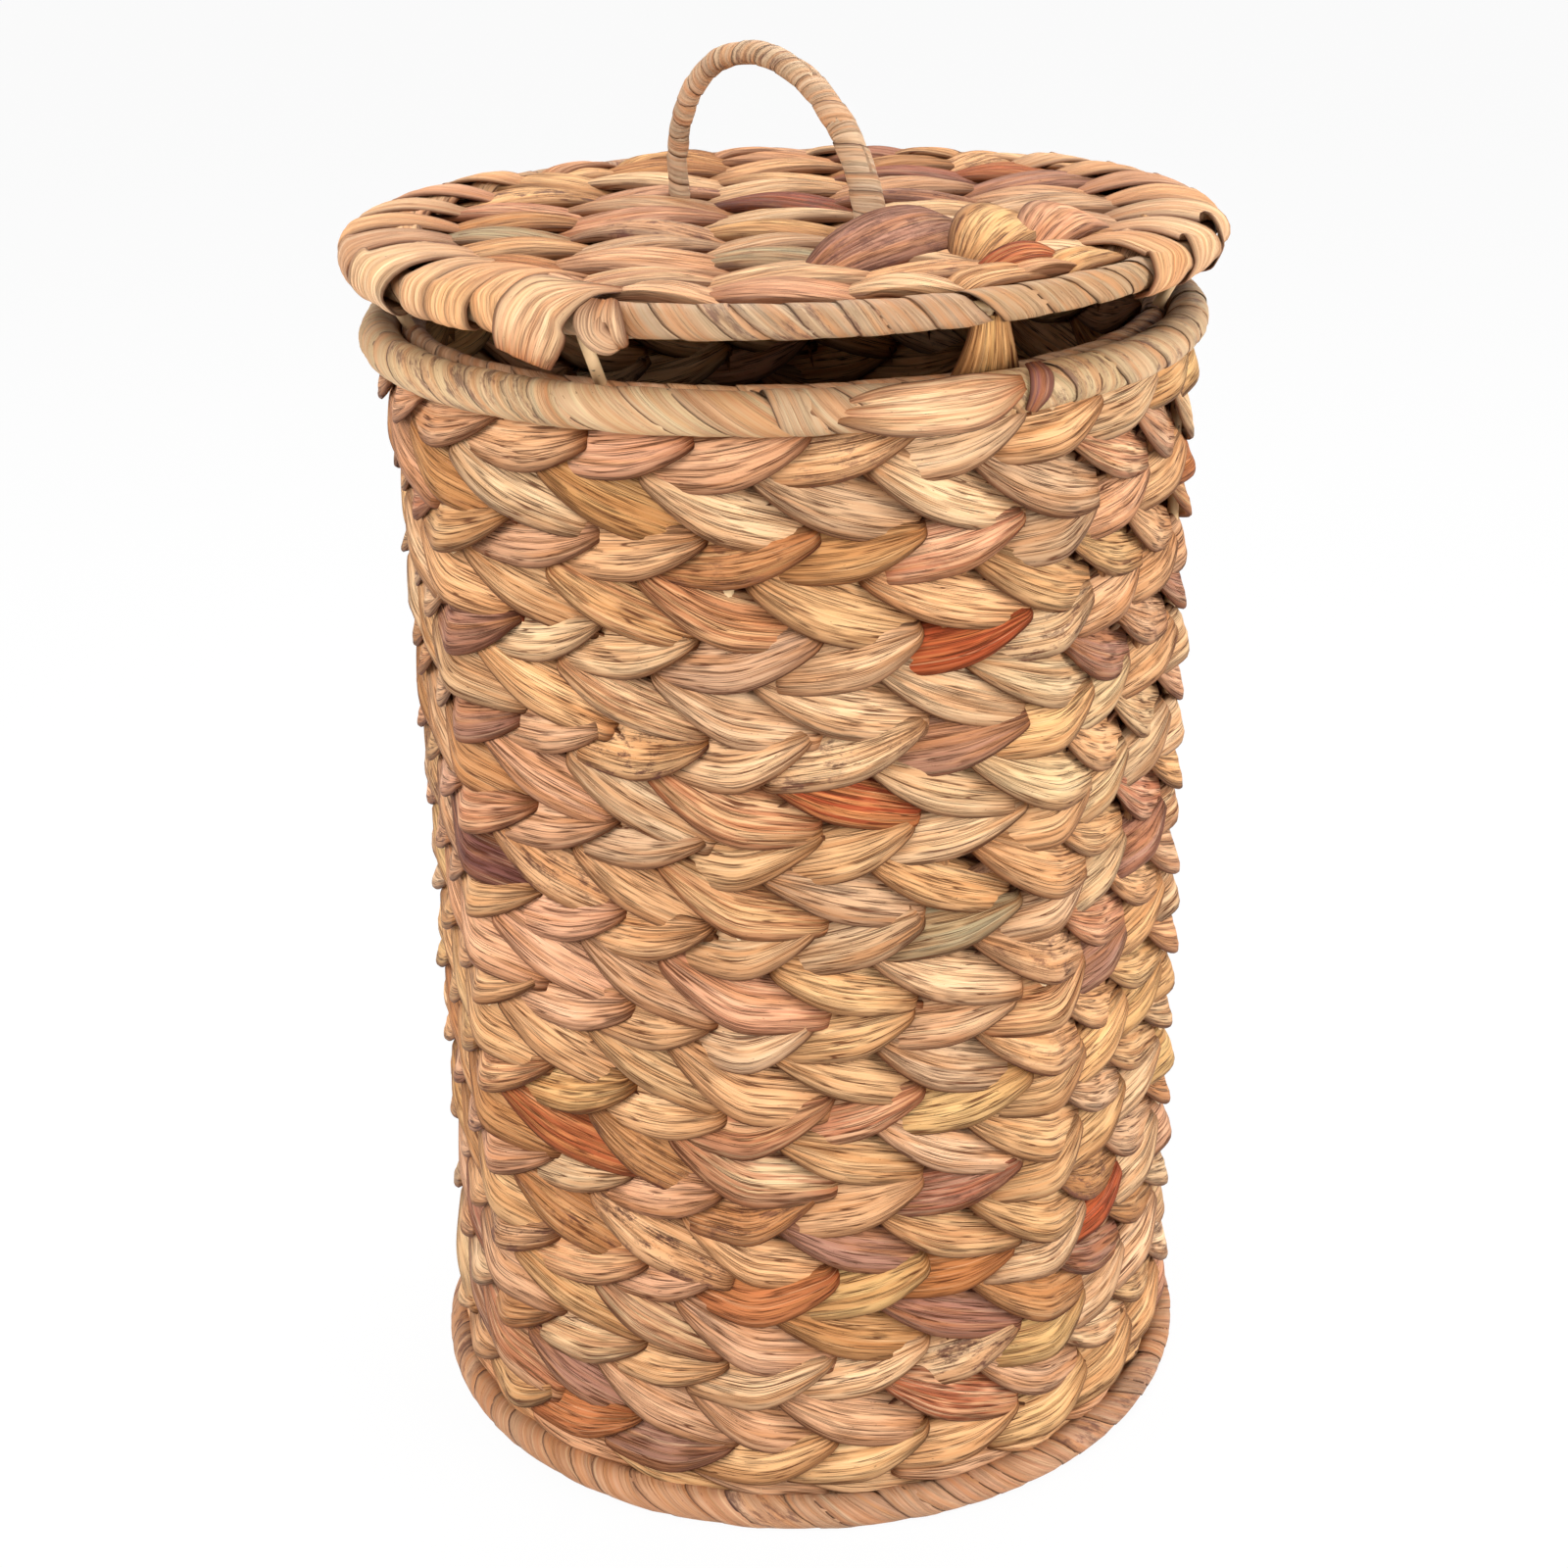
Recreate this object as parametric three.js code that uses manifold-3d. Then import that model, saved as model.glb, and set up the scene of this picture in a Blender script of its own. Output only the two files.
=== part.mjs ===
// Woven waste basket with a lift-off lid: dried stalk and leaf woven on a welded wire frame.
// Units are millimetres. +Z is up, the origin is on the floor under the middle of the basket,
// and the front of the basket faces -Y. Angles are in degrees from the front towards +X.

import * as THREE from "three";
import { mergeVertices } from "three/addons/utils/BufferGeometryUtils.js";
import Module from "manifold-3d";

const wasm = await Module();
wasm.setup();

// Basket
const bodyHeight = 355; // floor to the top of the rim
const hoopRadius = 119; // centre line of the rim hoop and of the foot hoop
const rimWrapRadius = 6;
const footWrapRadius = 5.25;
const footFlat = 0.5; // depth cut flat under the foot ring

// Wire frame
const wireRadius = 1.7;
const weldBite = 0.9; // how far welded wires run into each other
const uprightCount = 8;
const stakesPerSide = 2; // fibre stakes between neighbouring uprights
const stakeThickness = 4;
const firstUprightAngle = -8;
const crossWireCount = 5; // in the floor and in the lid

// Weave
const strandThickness = 5;
const strandFlatShare = 0.56; // of a strand's width, on its flat side
const stitchSwell = 1.75; // at each edge, wider where a strand shows and narrower behind
const stitchLean = 4.5; // of a strand's edges along its run, in turn to each side
const uprightLean = 1.8; // the same at the uprights, where the wall turns
const courseCount = 23;
const topCourseDrop = 11; // middle of the top course below the rim's hoop
const lowCourseRise = 20; // middle of the lowest full course above the foot's hoop
const footCourseHeight = 7;
const courseGap = 0.44; // between neighbouring courses
const rimRoom = 1.5; // between the rim's wrap and the outer bends of the top course
const matRowCount = 11; // in the floor and in the lid
const matThickness = 13; // of the floor, over the strands above and below its wires
const matGrooveDepth = 2.6; // between the floor's rows

// Lid
const lidOverhang = 2.5; // of the lid's outer hoop over the rim's
const lidRise = 24; // of the lid's outer hoop above the rim's
const lidWrapRadius = 4.6;
const mouthPlay = 0.7; // between the rim's wrap and the locating ring's
const locatingRise = 1.5; // of the locating hoop above the rim's
const locatingWrapRadius = 3.3;
const dropPostCount = 7;
const handleSpan = 76; // between the centre lines of the two legs
const handleRise = 43; // of the arch above its legs
const handleLegTop = 7; // above the lid's wires
const handleLean = 6; // how far the top of the arch sits off the middle
const handleTurn = -42.4; // degrees about +Z
const handleCentre = [-2.5, 4.9];
const handleWrapRadius = 3.9;
const leafTieWidths = [11, 21]; // at the lid ring and at the rim
const leafTieThickness = 0.9;
const leafTiePleats = 6;
const leafTiePleatDepth = 0.7;

// Span of each wrap's section in degrees: 0 is outward from the hoop and 90 is up
const rimWrapSpan = [-85, 170];
const footWrapSpan = [-170, 85];
const lidWrapSpan = [-45, 100];
const locatingWrapSpan = [120, 362];

const clearance = 0.3; // between pieces that touch
const weaveSlack = 0.25; // extra room where a strand bends round an upright

// Facets
const roundSegments = 36;
const hoopSides = 5;
const rodSides = 6;
const stakeSides = 4;
const sleeveSides = 8;
const archSteps = 10;
const widestBoreStep = 70; // degrees between the corners of a wrap's bore

// Heights and radii worked out from the sizes above
const rimZ = bodyHeight - rimWrapRadius;
const footZ = footWrapRadius - footFlat;
const boreRadius = wireRadius + clearance;
const stakeRadius = stakeThickness / 2;
const uprightRadius = hoopRadius - 2 * wireRadius + weldBite;
const stakeEndRadius = hoopRadius - wireRadius - clearance - stakeRadius;
const stakesPerUpright = stakesPerSide + 1;
const stakeCount = uprightCount * stakesPerUpright;
const stakeStep = 360 / stakeCount;
const floorWireZ = footZ + 2 * wireRadius - weldBite;
const strandReach = clearance + strandThickness / 2 + weaveSlack;
const topCourseZ = rimZ - topCourseDrop;
const coursePitch = (topCourseZ - footZ - lowCourseRise) / (courseCount - 1);
const lidRingRadius = hoopRadius + lidOverhang;
const lidRingZ = rimZ + lidRise;
const locatingRingRadius = hoopRadius - rimWrapRadius - mouthPlay - locatingWrapRadius;
const locatingRingZ = rimZ + locatingRise;
const matWidth = 2 * (lidRingRadius - lidWrapRadius);
const matRowPitch = matWidth / matRowCount;
const crossWirePitch = matWidth / (crossWireCount + 1);

const leaf = { color: 0xcda674, roughness: 0.8, metalness: 0 };
const strip = { color: 0xbf9360, roughness: 0.8, metalness: 0 };
const fibre = { color: 0x8a6540, roughness: 0.9, metalness: 0 };
const wire = { color: 0xe6d9bd, roughness: 0.5, metalness: 0.1 };

const basket = new THREE.Group();
const lid = new THREE.Group();

function piece(parent, name, geometry, finish) {
  const mesh = new THREE.Mesh(geometry, new THREE.MeshStandardMaterial(finish));
  mesh.name = name;
  parent.add(mesh);
}

function polar(radius, angle, z) {
  const a = THREE.MathUtils.degToRad(angle);
  return new THREE.Vector3(radius * Math.sin(a), -radius * Math.cos(a), z);
}

// A closed mesh through rings of points. The points of a ring run anticlockwise as seen
// from further along the path.
function loft(rings, closed) {
  const sides = rings[0].length;
  const positions = rings.flat().flatMap((p) => [p.x, p.y, p.z]);
  const index = [];
  const spans = closed ? rings.length : rings.length - 1;
  for (let i = 0; i < spans; i++) {
    const here = i * sides;
    const next = ((i + 1) % rings.length) * sides;
    for (let j = 0; j < sides; j++) {
      const k = (j + 1) % sides;
      index.push(here + j, here + k, next + k);
      index.push(here + j, next + k, next + j);
    }
  }
  if (!closed) {
    const last = (rings.length - 1) * sides;
    for (let j = 1; j < sides - 1; j++) {
      index.push(last, last + j, last + j + 1);
      index.push(0, j + 1, j);
    }
  }
  const geometry = new THREE.BufferGeometry();
  geometry.setAttribute("position", new THREE.Float32BufferAttribute(positions, 3));
  geometry.setIndex(index);
  return geometry;
}

function solid(geometry) {
  const bare = geometry.clone();
  bare.deleteAttribute("normal");
  bare.deleteAttribute("uv");
  const merged = mergeVertices(bare, 1e-3);
  return new wasm.Manifold(
    new wasm.Mesh({
      numProp: 3,
      vertProperties: new Float32Array(merged.attributes.position.array),
      triVerts: new Uint32Array(merged.index.array),
    }),
  );
}

function geometryOf(body) {
  const mesh = body.getMesh();
  const geometry = new THREE.BufferGeometry();
  geometry.setAttribute("position", new THREE.BufferAttribute(mesh.vertProperties, 3));
  geometry.setIndex(new THREE.BufferAttribute(mesh.triVerts, 1));
  return geometry;
}

function join(geometries) {
  return geometries.map(solid).reduce((whole, next) => whole.add(next));
}

function hoop(radius, z) {
  const geometry = new THREE.TorusGeometry(radius, wireRadius, hoopSides, roundSegments);
  return geometry.translate(0, 0, z);
}

function rod(from, to, radius) {
  const geometry = new THREE.CylinderGeometry(radius, radius, from.distanceTo(to), rodSides);
  const along = new THREE.Vector3().subVectors(to, from).normalize();
  const turn = new THREE.Quaternion().setFromUnitVectors(new THREE.Vector3(0, 1, 0), along);
  geometry.applyQuaternion(turn);
  const middle = new THREE.Vector3().addVectors(from, to).multiplyScalar(0.5);
  return geometry.translate(middle.x, middle.y, middle.z);
}

function evenAngles([from, to], steps) {
  return Array.from({ length: steps + 1 }, (_, i) => from + ((to - from) * i) / steps);
}

// A leaf strip wound round a hoop. Its section has corners at the given angles and is open
// on the rest, where uprights, posts and cross wires reach the hoop.
function hoopWrap(ringRadius, z, wrapRadius, angles) {
  const corner = (radius, angle) => {
    const a = THREE.MathUtils.degToRad(angle);
    return [ringRadius + radius * Math.cos(a), z + radius * Math.sin(a)];
  };
  const ends = [angles[0], angles[angles.length - 1]];
  const bore = evenAngles(ends, Math.ceil((ends[1] - ends[0]) / widestBoreStep));
  const halfStep = THREE.MathUtils.degToRad(bore[1] - bore[0]) / 2;
  const profile = [
    ...bore.map((angle) => corner(boreRadius / Math.cos(halfStep), angle)),
    ...angles.map((angle) => corner(wrapRadius, angle)).reverse(),
  ];
  const rings = [];
  for (let i = 0; i < roundSegments; i++) {
    const turn = (i * 360) / roundSegments + 90;
    rings.push(profile.map(([r, h]) => polar(r, turn, h)));
  }
  return loft(rings, true);
}

function crossWireOffsets() {
  const first = (-(crossWireCount - 1) / 2) * crossWirePitch;
  return Array.from({ length: crossWireCount }, (_, i) => first + i * crossWirePitch);
}

function crossWires(ringRadius, z) {
  return crossWireOffsets().map((x) => {
    const half = Math.sqrt(ringRadius ** 2 - (Math.abs(x) + wireRadius) ** 2);
    return rod(new THREE.Vector3(x, -half, z), new THREE.Vector3(x, half, z), wireRadius);
  });
}

// The uprights stand straight. The fibre stakes between them are drawn in by the weave
// until each side of the wall is flat.
const bowStations = [0, 0.1, 0.25, 0.5, 0.75, 0.9, 1];
const halfSide = THREE.MathUtils.degToRad(180 / uprightCount);
const stakeOffMiddle = THREE.MathUtils.degToRad(stakeStep / 2);
const flatRadius = (uprightRadius * Math.cos(halfSide)) / Math.cos(stakeOffMiddle);

function bowAt(share) {
  const depth = (t) => 1 - Math.abs(2 * t - 1) ** 3;
  const after = Math.max(1, bowStations.findIndex((t) => t >= share));
  const [a, b] = [bowStations[after - 1], bowStations[after]];
  return depth(a) + ((depth(b) - depth(a)) * (share - a)) / (b - a);
}

function isUpright(index) {
  return index % stakesPerUpright === 0;
}

function stakeCentreRadius(index, z) {
  if (isUpright(index)) {
    return uprightRadius;
  }
  const share = (z - footZ) / (rimZ - footZ);
  return stakeEndRadius - (stakeEndRadius - flatRadius) * bowAt(share);
}

function stakeAngle(index) {
  return firstUprightAngle + index * stakeStep;
}

function bodyFrame() {
  const wires = [hoop(hoopRadius, rimZ), hoop(hoopRadius, footZ)];
  for (let i = 0; i < uprightCount; i++) {
    const angle = stakeAngle(i * stakesPerUpright);
    const foot = polar(uprightRadius, angle, footZ);
    const top = polar(uprightRadius, angle, rimZ);
    wires.push(rod(foot, top, wireRadius));
  }
  wires.push(...crossWires(hoopRadius, floorWireZ));
  return geometryOf(join(wires));
}

function fibreStake(index) {
  const angle = stakeAngle(index);
  const lowest = footZ + clearance;
  const highest = rimZ - clearance;
  const rings = bowStations.map((share) => {
    const z = THREE.MathUtils.clamp(footZ + (rimZ - footZ) * share, lowest, highest);
    const centre = polar(stakeCentreRadius(index, z), angle, z);
    return Array.from({ length: stakeSides }, (_, j) => {
      return centre.clone().add(polar(stakeRadius, angle + (j * 360) / stakeSides, 0));
    });
  });
  return loft(rings, false);
}

// One course of the wall: a flat strand in front of one upright and behind the next. It
// slants up or down in front, against the courses above and below it. The heights are of
// its upper and lower edge, in front and behind. The top course rises inside the rim, where
// the lid's locating ring comes down on it.
function wallCourse(z, phase, inFront, behind) {
  const side = phase % 2 === 0 ? 1 : -1;
  const rings = [];
  for (let i = 0; i < stakeCount; i++) {
    const outside = (i + phase) % 2 === 0;
    const thickness = isUpright(i) ? wireRadius : stakeRadius;
    const reach = (thickness + strandReach) * (outside ? 1 : -1);
    const radius = stakeCentreRadius(i, z) + reach;
    const [top, bottom] = outside ? inFront : behind;
    const angle = stakeAngle(i);
    const edgeLean = side * (isUpright(i) ? uprightLean : stitchLean);
    const lean = THREE.MathUtils.radToDeg(edgeLean / uprightRadius);
    const half = strandThickness / 2;
    const flatLean = outside ? lean * strandFlatShare : 0;
    rings.push([
      polar(radius, angle + lean, top),
      polar(radius + half, angle + flatLean, z + (top - z) * strandFlatShare),
      polar(radius + half, angle - flatLean, z + (bottom - z) * strandFlatShare),
      polar(radius, angle - lean, bottom),
      polar(radius - half, angle, z),
    ]);
  }
  return loft(rings, true);
}

function twoDigits(number) {
  return String(number).padStart(2, "0");
}

function buildBasket() {
  piece(basket, "body_frame", bodyFrame(), wire);
  let stakeNumber = 0;
  for (let i = 0; i < stakeCount; i++) {
    if (!isUpright(i)) {
      stakeNumber += 1;
      piece(basket, `stake_${twoDigits(stakeNumber)}`, fibreStake(i), fibre);
    }
  }
  const height = coursePitch - courseGap;
  for (let i = 0; i < courseCount; i++) {
    const z = topCourseZ - i * coursePitch;
    const inFront = [z + height / 2 + stitchSwell, z - height / 2 - stitchSwell];
    const behind = [z + height / 2 - stitchSwell, z - height / 2 + stitchSwell];
    if (i === 0) {
      inFront[0] = rimZ - rimWrapRadius - rimRoom;
      behind[0] = locatingRingZ - locatingWrapRadius - clearance;
    }
    piece(basket, `side_course_${twoDigits(i + 1)}`, wallCourse(z, i, inFront, behind), leaf);
  }
  const footCrown = topCourseZ - (courseCount - 1) * coursePitch - height / 2 - courseGap;
  const footBottom = footCrown - footCourseHeight;
  const footInFront = [footCrown + stitchSwell, footBottom];
  const footBehind = [footCrown - stitchSwell, footBottom];
  const footCourseZ = (footCrown + footBottom) / 2;
  const footCourse = wallCourse(footCourseZ, courseCount, footInFront, footBehind);
  piece(basket, "foot_course", footCourse, leaf);
  const rimWrap = hoopWrap(hoopRadius, rimZ, rimWrapRadius, evenAngles(rimWrapSpan, 5));
  piece(basket, "rim_wrap", rimWrap, strip);
  const flatEdge = THREE.MathUtils.radToDeg(Math.asin(footZ / footWrapRadius));
  const overHoop = evenAngles([-flatEdge, footWrapSpan[1]], 3);
  const footAngles = [footWrapSpan[0], flatEdge - 180, ...overHoop];
  const footWrap = hoopWrap(hoopRadius, footZ, footWrapRadius, footAngles);
  piece(basket, "foot_wrap", footWrap, strip);
  piece(basket, "base_mat", baseMat(footBottom), leaf);
}

// The floor: rows of weave round the floor wires, cut to the ring of stakes, with its
// upper edge drawn in to pass under the wall's lowest course.
function baseMat(underCourse) {
  const low = floorWireZ - matThickness / 2;
  const high = floorWireZ + matThickness / 2;
  const outline = [];
  for (let i = 0; i <= 2 * matRowCount; i++) {
    const y = (i / 2 - matRowCount / 2) * matRowPitch;
    outline.push(new THREE.Vector2(y, i % 2 ? low : low + matGrooveDepth));
  }
  for (let i = 2 * matRowCount; i >= 0; i--) {
    const y = (i / 2 - matRowCount / 2) * matRowPitch;
    outline.push(new THREE.Vector2(y, i % 2 ? high : high - matGrooveDepth));
  }
  const rows = new THREE.ExtrudeGeometry(new THREE.Shape(outline), {
    depth: matWidth,
    bevelEnabled: false,
  });
  const turned = new THREE.Matrix4().makeBasis(
    new THREE.Vector3(0, 1, 0),
    new THREE.Vector3(0, 0, 1),
    new THREE.Vector3(1, 0, 0),
  );
  rows.applyMatrix4(turned).translate(-matWidth / 2, 0, 0);
  const innerFace = stakeEndRadius - stakeRadius - clearance;
  const lastStake = stakeCentreRadius(1, high);
  const underWall = lastStake - stakeRadius - strandReach - strandThickness / 2 - clearance;
  const step = underCourse - clearance;
  const disc = new THREE.LatheGeometry(
    [
      new THREE.Vector2(0, low),
      new THREE.Vector2(innerFace, low),
      new THREE.Vector2(innerFace, step - 2 * clearance),
      new THREE.Vector2(underWall, step),
      new THREE.Vector2(underWall, high),
      new THREE.Vector2(0, high),
    ],
    roundSegments,
  );
  disc.rotateX(Math.PI / 2);
  let mat = solid(rows).intersect(solid(disc));
  for (const x of crossWireOffsets()) {
    const from = new THREE.Vector3(x, -hoopRadius, floorWireZ);
    const to = new THREE.Vector3(x, hoopRadius, floorWireZ);
    mat = mat.subtract(solid(rod(from, to, boreRadius + clearance)));
  }
  return geometryOf(mat);
}

// The handle's centre line: out of one cross wire, up, over the arch and down to another.
function handleLine() {
  const turn = THREE.MathUtils.degToRad(handleTurn);
  const place = (along, z) => {
    const x = handleCentre[0] + along * Math.cos(turn);
    const y = handleCentre[1] + along * Math.sin(turn);
    return new THREE.Vector3(x, y, z);
  };
  const legTop = lidRingZ + handleLegTop;
  const arch = [];
  for (let i = 0; i <= archSteps; i++) {
    const a = Math.PI * (1 - i / archSteps);
    const along = (handleSpan / 2) * Math.cos(a) - handleLean * Math.sin(a);
    arch.push(place(along, legTop + handleRise * Math.sin(a)));
  }
  const feet = [place(-handleSpan / 2, lidRingZ), place(handleSpan / 2, lidRingZ)];
  return { arch, feet };
}

// A round bar along straight pieces, with mitred corners.
function bentBar(points, radius, sides) {
  const turn = THREE.MathUtils.degToRad(handleTurn);
  const across = new THREE.Vector3(-Math.sin(turn), Math.cos(turn), 0);
  const rings = points.map((point, i) => {
    const back = points[Math.max(i - 1, 0)];
    const ahead = points[Math.min(i + 1, points.length - 1)];
    const along = new THREE.Vector3().subVectors(ahead, back).normalize();
    const normal = new THREE.Vector3().crossVectors(along, across).normalize();
    return Array.from({ length: sides }, (_, j) => {
      const a = (2 * Math.PI * j) / sides;
      const offset = normal.clone().multiplyScalar(radius * Math.cos(a));
      return point.clone().add(offset.addScaledVector(across, -radius * Math.sin(a)));
    });
  });
  return loft(rings, false);
}

// The handle's bar and the two tabs that carry its feet to the cross wires beside them.
function handleBars(radius) {
  const { arch, feet } = handleLine();
  const bar = bentBar([feet[0], ...arch, feet[1]], radius, rodSides);
  const tabs = feet.map((foot, i) => {
    const outward = i === 0 ? -1 : 1;
    const start = new THREE.Vector3(foot.x - (outward * radius) / 2, foot.y, foot.z);
    const end = new THREE.Vector3(outward * crossWirePitch, foot.y, foot.z);
    return rod(start, end, radius);
  });
  return [bar, ...tabs];
}

function dropPosts() {
  const posts = [];
  for (let i = 0; i < dropPostCount; i++) {
    const angle = ((i + 0.5) * 360) / dropPostCount;
    const top = polar(lidRingRadius, angle, lidRingZ);
    const bottom = polar(locatingRingRadius, angle, locatingRingZ);
    const inset = (wireRadius - weldBite) / top.distanceTo(bottom);
    posts.push(rod(top.clone().lerp(bottom, inset), bottom.clone().lerp(top, inset), wireRadius));
  }
  return posts;
}

function lidFrame() {
  const hoops = [hoop(lidRingRadius, lidRingZ), hoop(locatingRingRadius, locatingRingZ)];
  const wires = crossWires(lidRingRadius, lidRingZ);
  return geometryOf(join([...hoops, ...wires, ...dropPosts(), ...handleBars(wireRadius)]));
}

// One course of the lid's top, running left to right over one cross wire and under the next.
// It slants against its neighbours, as the courses of the wall do.
function lidCourse(index, disc, handleRoom) {
  const y = (index - (matRowCount - 1) / 2) * matRowPitch;
  const lean = index % 2 === 0 ? -stitchLean : stitchLean;
  const ends = (crossWireCount + 1) / 2;
  const rings = [];
  for (let i = 0; i <= crossWireCount + 1; i++) {
    const over = (i + index) % 2 === 0;
    const x = (i - ends) * crossWirePitch;
    const z = lidRingZ + (wireRadius + strandReach) * (over ? 1 : -1);
    const half = strandThickness / 2;
    const halfWidth = (matRowPitch - courseGap) / 2 + (over ? stitchSwell : -stitchSwell);
    const shoulder = strandFlatShare * halfWidth;
    const overLean = over ? lean * strandFlatShare : 0;
    rings.push([
      new THREE.Vector3(x + lean, y + halfWidth, z),
      new THREE.Vector3(x + overLean, y + shoulder, z + half),
      new THREE.Vector3(x - overLean, y - shoulder, z + half),
      new THREE.Vector3(x - lean, y - halfWidth, z),
      new THREE.Vector3(x, y - shoulder, z - half),
      new THREE.Vector3(x, y + shoulder, z - half),
    ]);
  }
  return geometryOf(solid(loft(rings, false)).intersect(disc).subtract(handleRoom));
}

function handleWrap() {
  const { arch, feet } = handleLine();
  const sleeve = solid(bentBar(arch, handleWrapRadius, sleeveSides));
  const bore = solid(bentBar([feet[0], ...arch, feet[1]], boreRadius, rodSides));
  return geometryOf(sleeve.subtract(bore));
}

// A pleated leaf spread like a fan over the drop post at the front right.
function leafTie() {
  const angle = 180 / dropPostCount;
  const outward = 2 * wireRadius + clearance;
  const slope = (lidRingRadius - locatingRingRadius) / (lidRingZ - locatingRingZ);
  const top = lidRingZ - lidWrapRadius - 3 * clearance;
  const bottom = locatingRingZ + locatingWrapRadius + 3 * clearance;
  const height = top - bottom;
  const columns = 2 * leafTiePleats;
  const geometry = new THREE.BoxGeometry(1, leafTieThickness, height, columns, 1, 1);
  const position = geometry.attributes.position;
  for (let i = 0; i < position.count; i++) {
    const share = 0.5 - position.getZ(i) / height;
    const width = THREE.MathUtils.lerp(leafTieWidths[0], leafTieWidths[1], share);
    const column = Math.round((position.getX(i) + 0.5) * columns);
    const fold = column % 2 === 0 ? 0 : -leafTiePleatDepth;
    const z = top - share * height;
    const radius = locatingRingRadius + (z - locatingRingZ) * slope + outward;
    position.setX(i, position.getX(i) * width);
    position.setY(i, position.getY(i) + fold - radius);
    position.setZ(i, z);
  }
  geometry.deleteAttribute("normal");
  geometry.deleteAttribute("uv");
  const merged = mergeVertices(geometry, 1e-3);
  return merged.rotateZ(THREE.MathUtils.degToRad(angle));
}

function buildLid() {
  piece(lid, "lid_frame", lidFrame(), wire);
  const inside = lidRingRadius - lidWrapRadius - clearance;
  const tall = 2 * (wireRadius + strandReach + strandThickness);
  const disc = new THREE.CylinderGeometry(inside, inside, tall, roundSegments);
  disc.rotateX(Math.PI / 2).translate(0, 0, lidRingZ);
  const handleRoom = join(handleBars(boreRadius));
  for (let i = 0; i < matRowCount; i++) {
    const course = lidCourse(i, solid(disc), handleRoom);
    piece(lid, `lid_course_${twoDigits(i + 1)}`, course, leaf);
  }
  const lidAngles = evenAngles(lidWrapSpan, 4);
  const lidWrap = hoopWrap(lidRingRadius, lidRingZ, lidWrapRadius, lidAngles);
  piece(lid, "lid_ring_wrap", lidWrap, leaf);
  const locatingAngles = evenAngles(locatingWrapSpan, 5);
  const locatingWrap = hoopWrap(
    locatingRingRadius,
    locatingRingZ,
    locatingWrapRadius,
    locatingAngles,
  );
  piece(lid, "locating_ring_wrap", locatingWrap, strip);
  piece(lid, "handle_wrap", handleWrap(), leaf);
  piece(lid, "leaf_tie", leafTie(), strip);
}

buildBasket();
buildLid();

const wasteBasket = new THREE.Group();
wasteBasket.add(basket, lid);

export default wasteBasket;
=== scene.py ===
import math

import bpy
import numpy as np
from mathutils import Matrix, Vector


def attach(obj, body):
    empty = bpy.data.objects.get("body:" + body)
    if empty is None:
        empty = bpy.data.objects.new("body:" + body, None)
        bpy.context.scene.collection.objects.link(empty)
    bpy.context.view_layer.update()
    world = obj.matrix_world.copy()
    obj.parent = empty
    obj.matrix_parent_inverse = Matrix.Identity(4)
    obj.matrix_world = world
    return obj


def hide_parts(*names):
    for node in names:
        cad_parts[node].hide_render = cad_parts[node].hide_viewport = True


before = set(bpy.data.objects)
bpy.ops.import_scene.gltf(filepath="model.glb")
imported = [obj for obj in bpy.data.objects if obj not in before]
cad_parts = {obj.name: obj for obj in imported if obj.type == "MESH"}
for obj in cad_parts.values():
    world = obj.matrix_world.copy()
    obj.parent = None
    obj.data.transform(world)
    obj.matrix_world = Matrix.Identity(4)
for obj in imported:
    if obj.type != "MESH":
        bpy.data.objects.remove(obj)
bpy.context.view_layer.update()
print("frame loaded")

# Lengths of the basket are in mm and angles in degrees. Meshes are made in metres.
metre = 0.001
seeds = {
    "wall": 400, "footCourse": 31, "stake": 900, "wrap": 11, "handleWrap": 15, "lidRow": 600,
    "floorRow": 700, "ringFold": 50, "ringLeaf": 80, "borderPlace": 70, "borderLeaf": 120, "lidLeaf": 95,
}


def draws(name, number=0):
    return np.random.default_rng(seeds[name] + number)


def linearColour(*channels):
    # from sRGB values of 0 to 255, as a colour picker gives them
    values = np.array(channels) / 255
    return np.where(values <= 0.04045, values / 12.92, ((values + 0.055) / 1.055) ** 2.4)


leafColours = {
    "straw": (240, 194, 146), "tan": (236, 180, 126), "pinkTan": (232, 174, 132), "ochre": (232, 178, 118),
    "greyTan": (212, 168, 128), "greyGreen": (176, 154, 116), "brown": (198, 140, 88),
    "rust": (204, 124, 74), "red": (190, 84, 44), "purple": (112, 70, 62), "mauve": (172, 122, 98),
}
leafColours = {name: linearColour(*colour) for name, colour in leafColours.items()}
# Share of the strands that have each colour
commonLeaves = {
    "straw": 0.28, "tan": 0.32, "pinkTan": 0.18, "ochre": 0.08, "greyTan": 0.05, "brown": 0.05,
    "rust": 0.02, "mauve": 0.02,
}
tintSpread = {"shade": (0.84, 1.05), "channel": (0.96, 1.04)}


def pickTints(rng, count, keep=0.45):
    share = np.array(list(commonLeaves.values()))
    picked = rng.choice(len(share), size=count, p=share / share.sum())
    for i in range(2, count):  # the two strands of a course take turns
        if rng.random() < keep:
            picked[i] = picked[i - 2]
    tints = np.array([leafColours[name] for name in commonLeaves])[picked]
    tints = tints * rng.uniform(*tintSpread["shade"], size=(count, 1))
    return tints * rng.uniform(*tintSpread["channel"], size=(count, 3))


def addNode(tree, kind, inputs=None, **settings):
    node = tree.nodes.new("ShaderNode" + kind)
    for name, value in settings.items():
        setattr(node, name, value)
    for name, value in (inputs or {}).items():
        if isinstance(value, bpy.types.NodeSocket):
            tree.links.new(value, node.inputs[name])
        else:
            node.inputs[name].default_value = value
    return node


def maths(tree, operation, first, second=0.0, clamp=False):
    return addNode(tree, "Math", {0: first, 1: second}, operation=operation, use_clamp=clamp).outputs[0]


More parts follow.
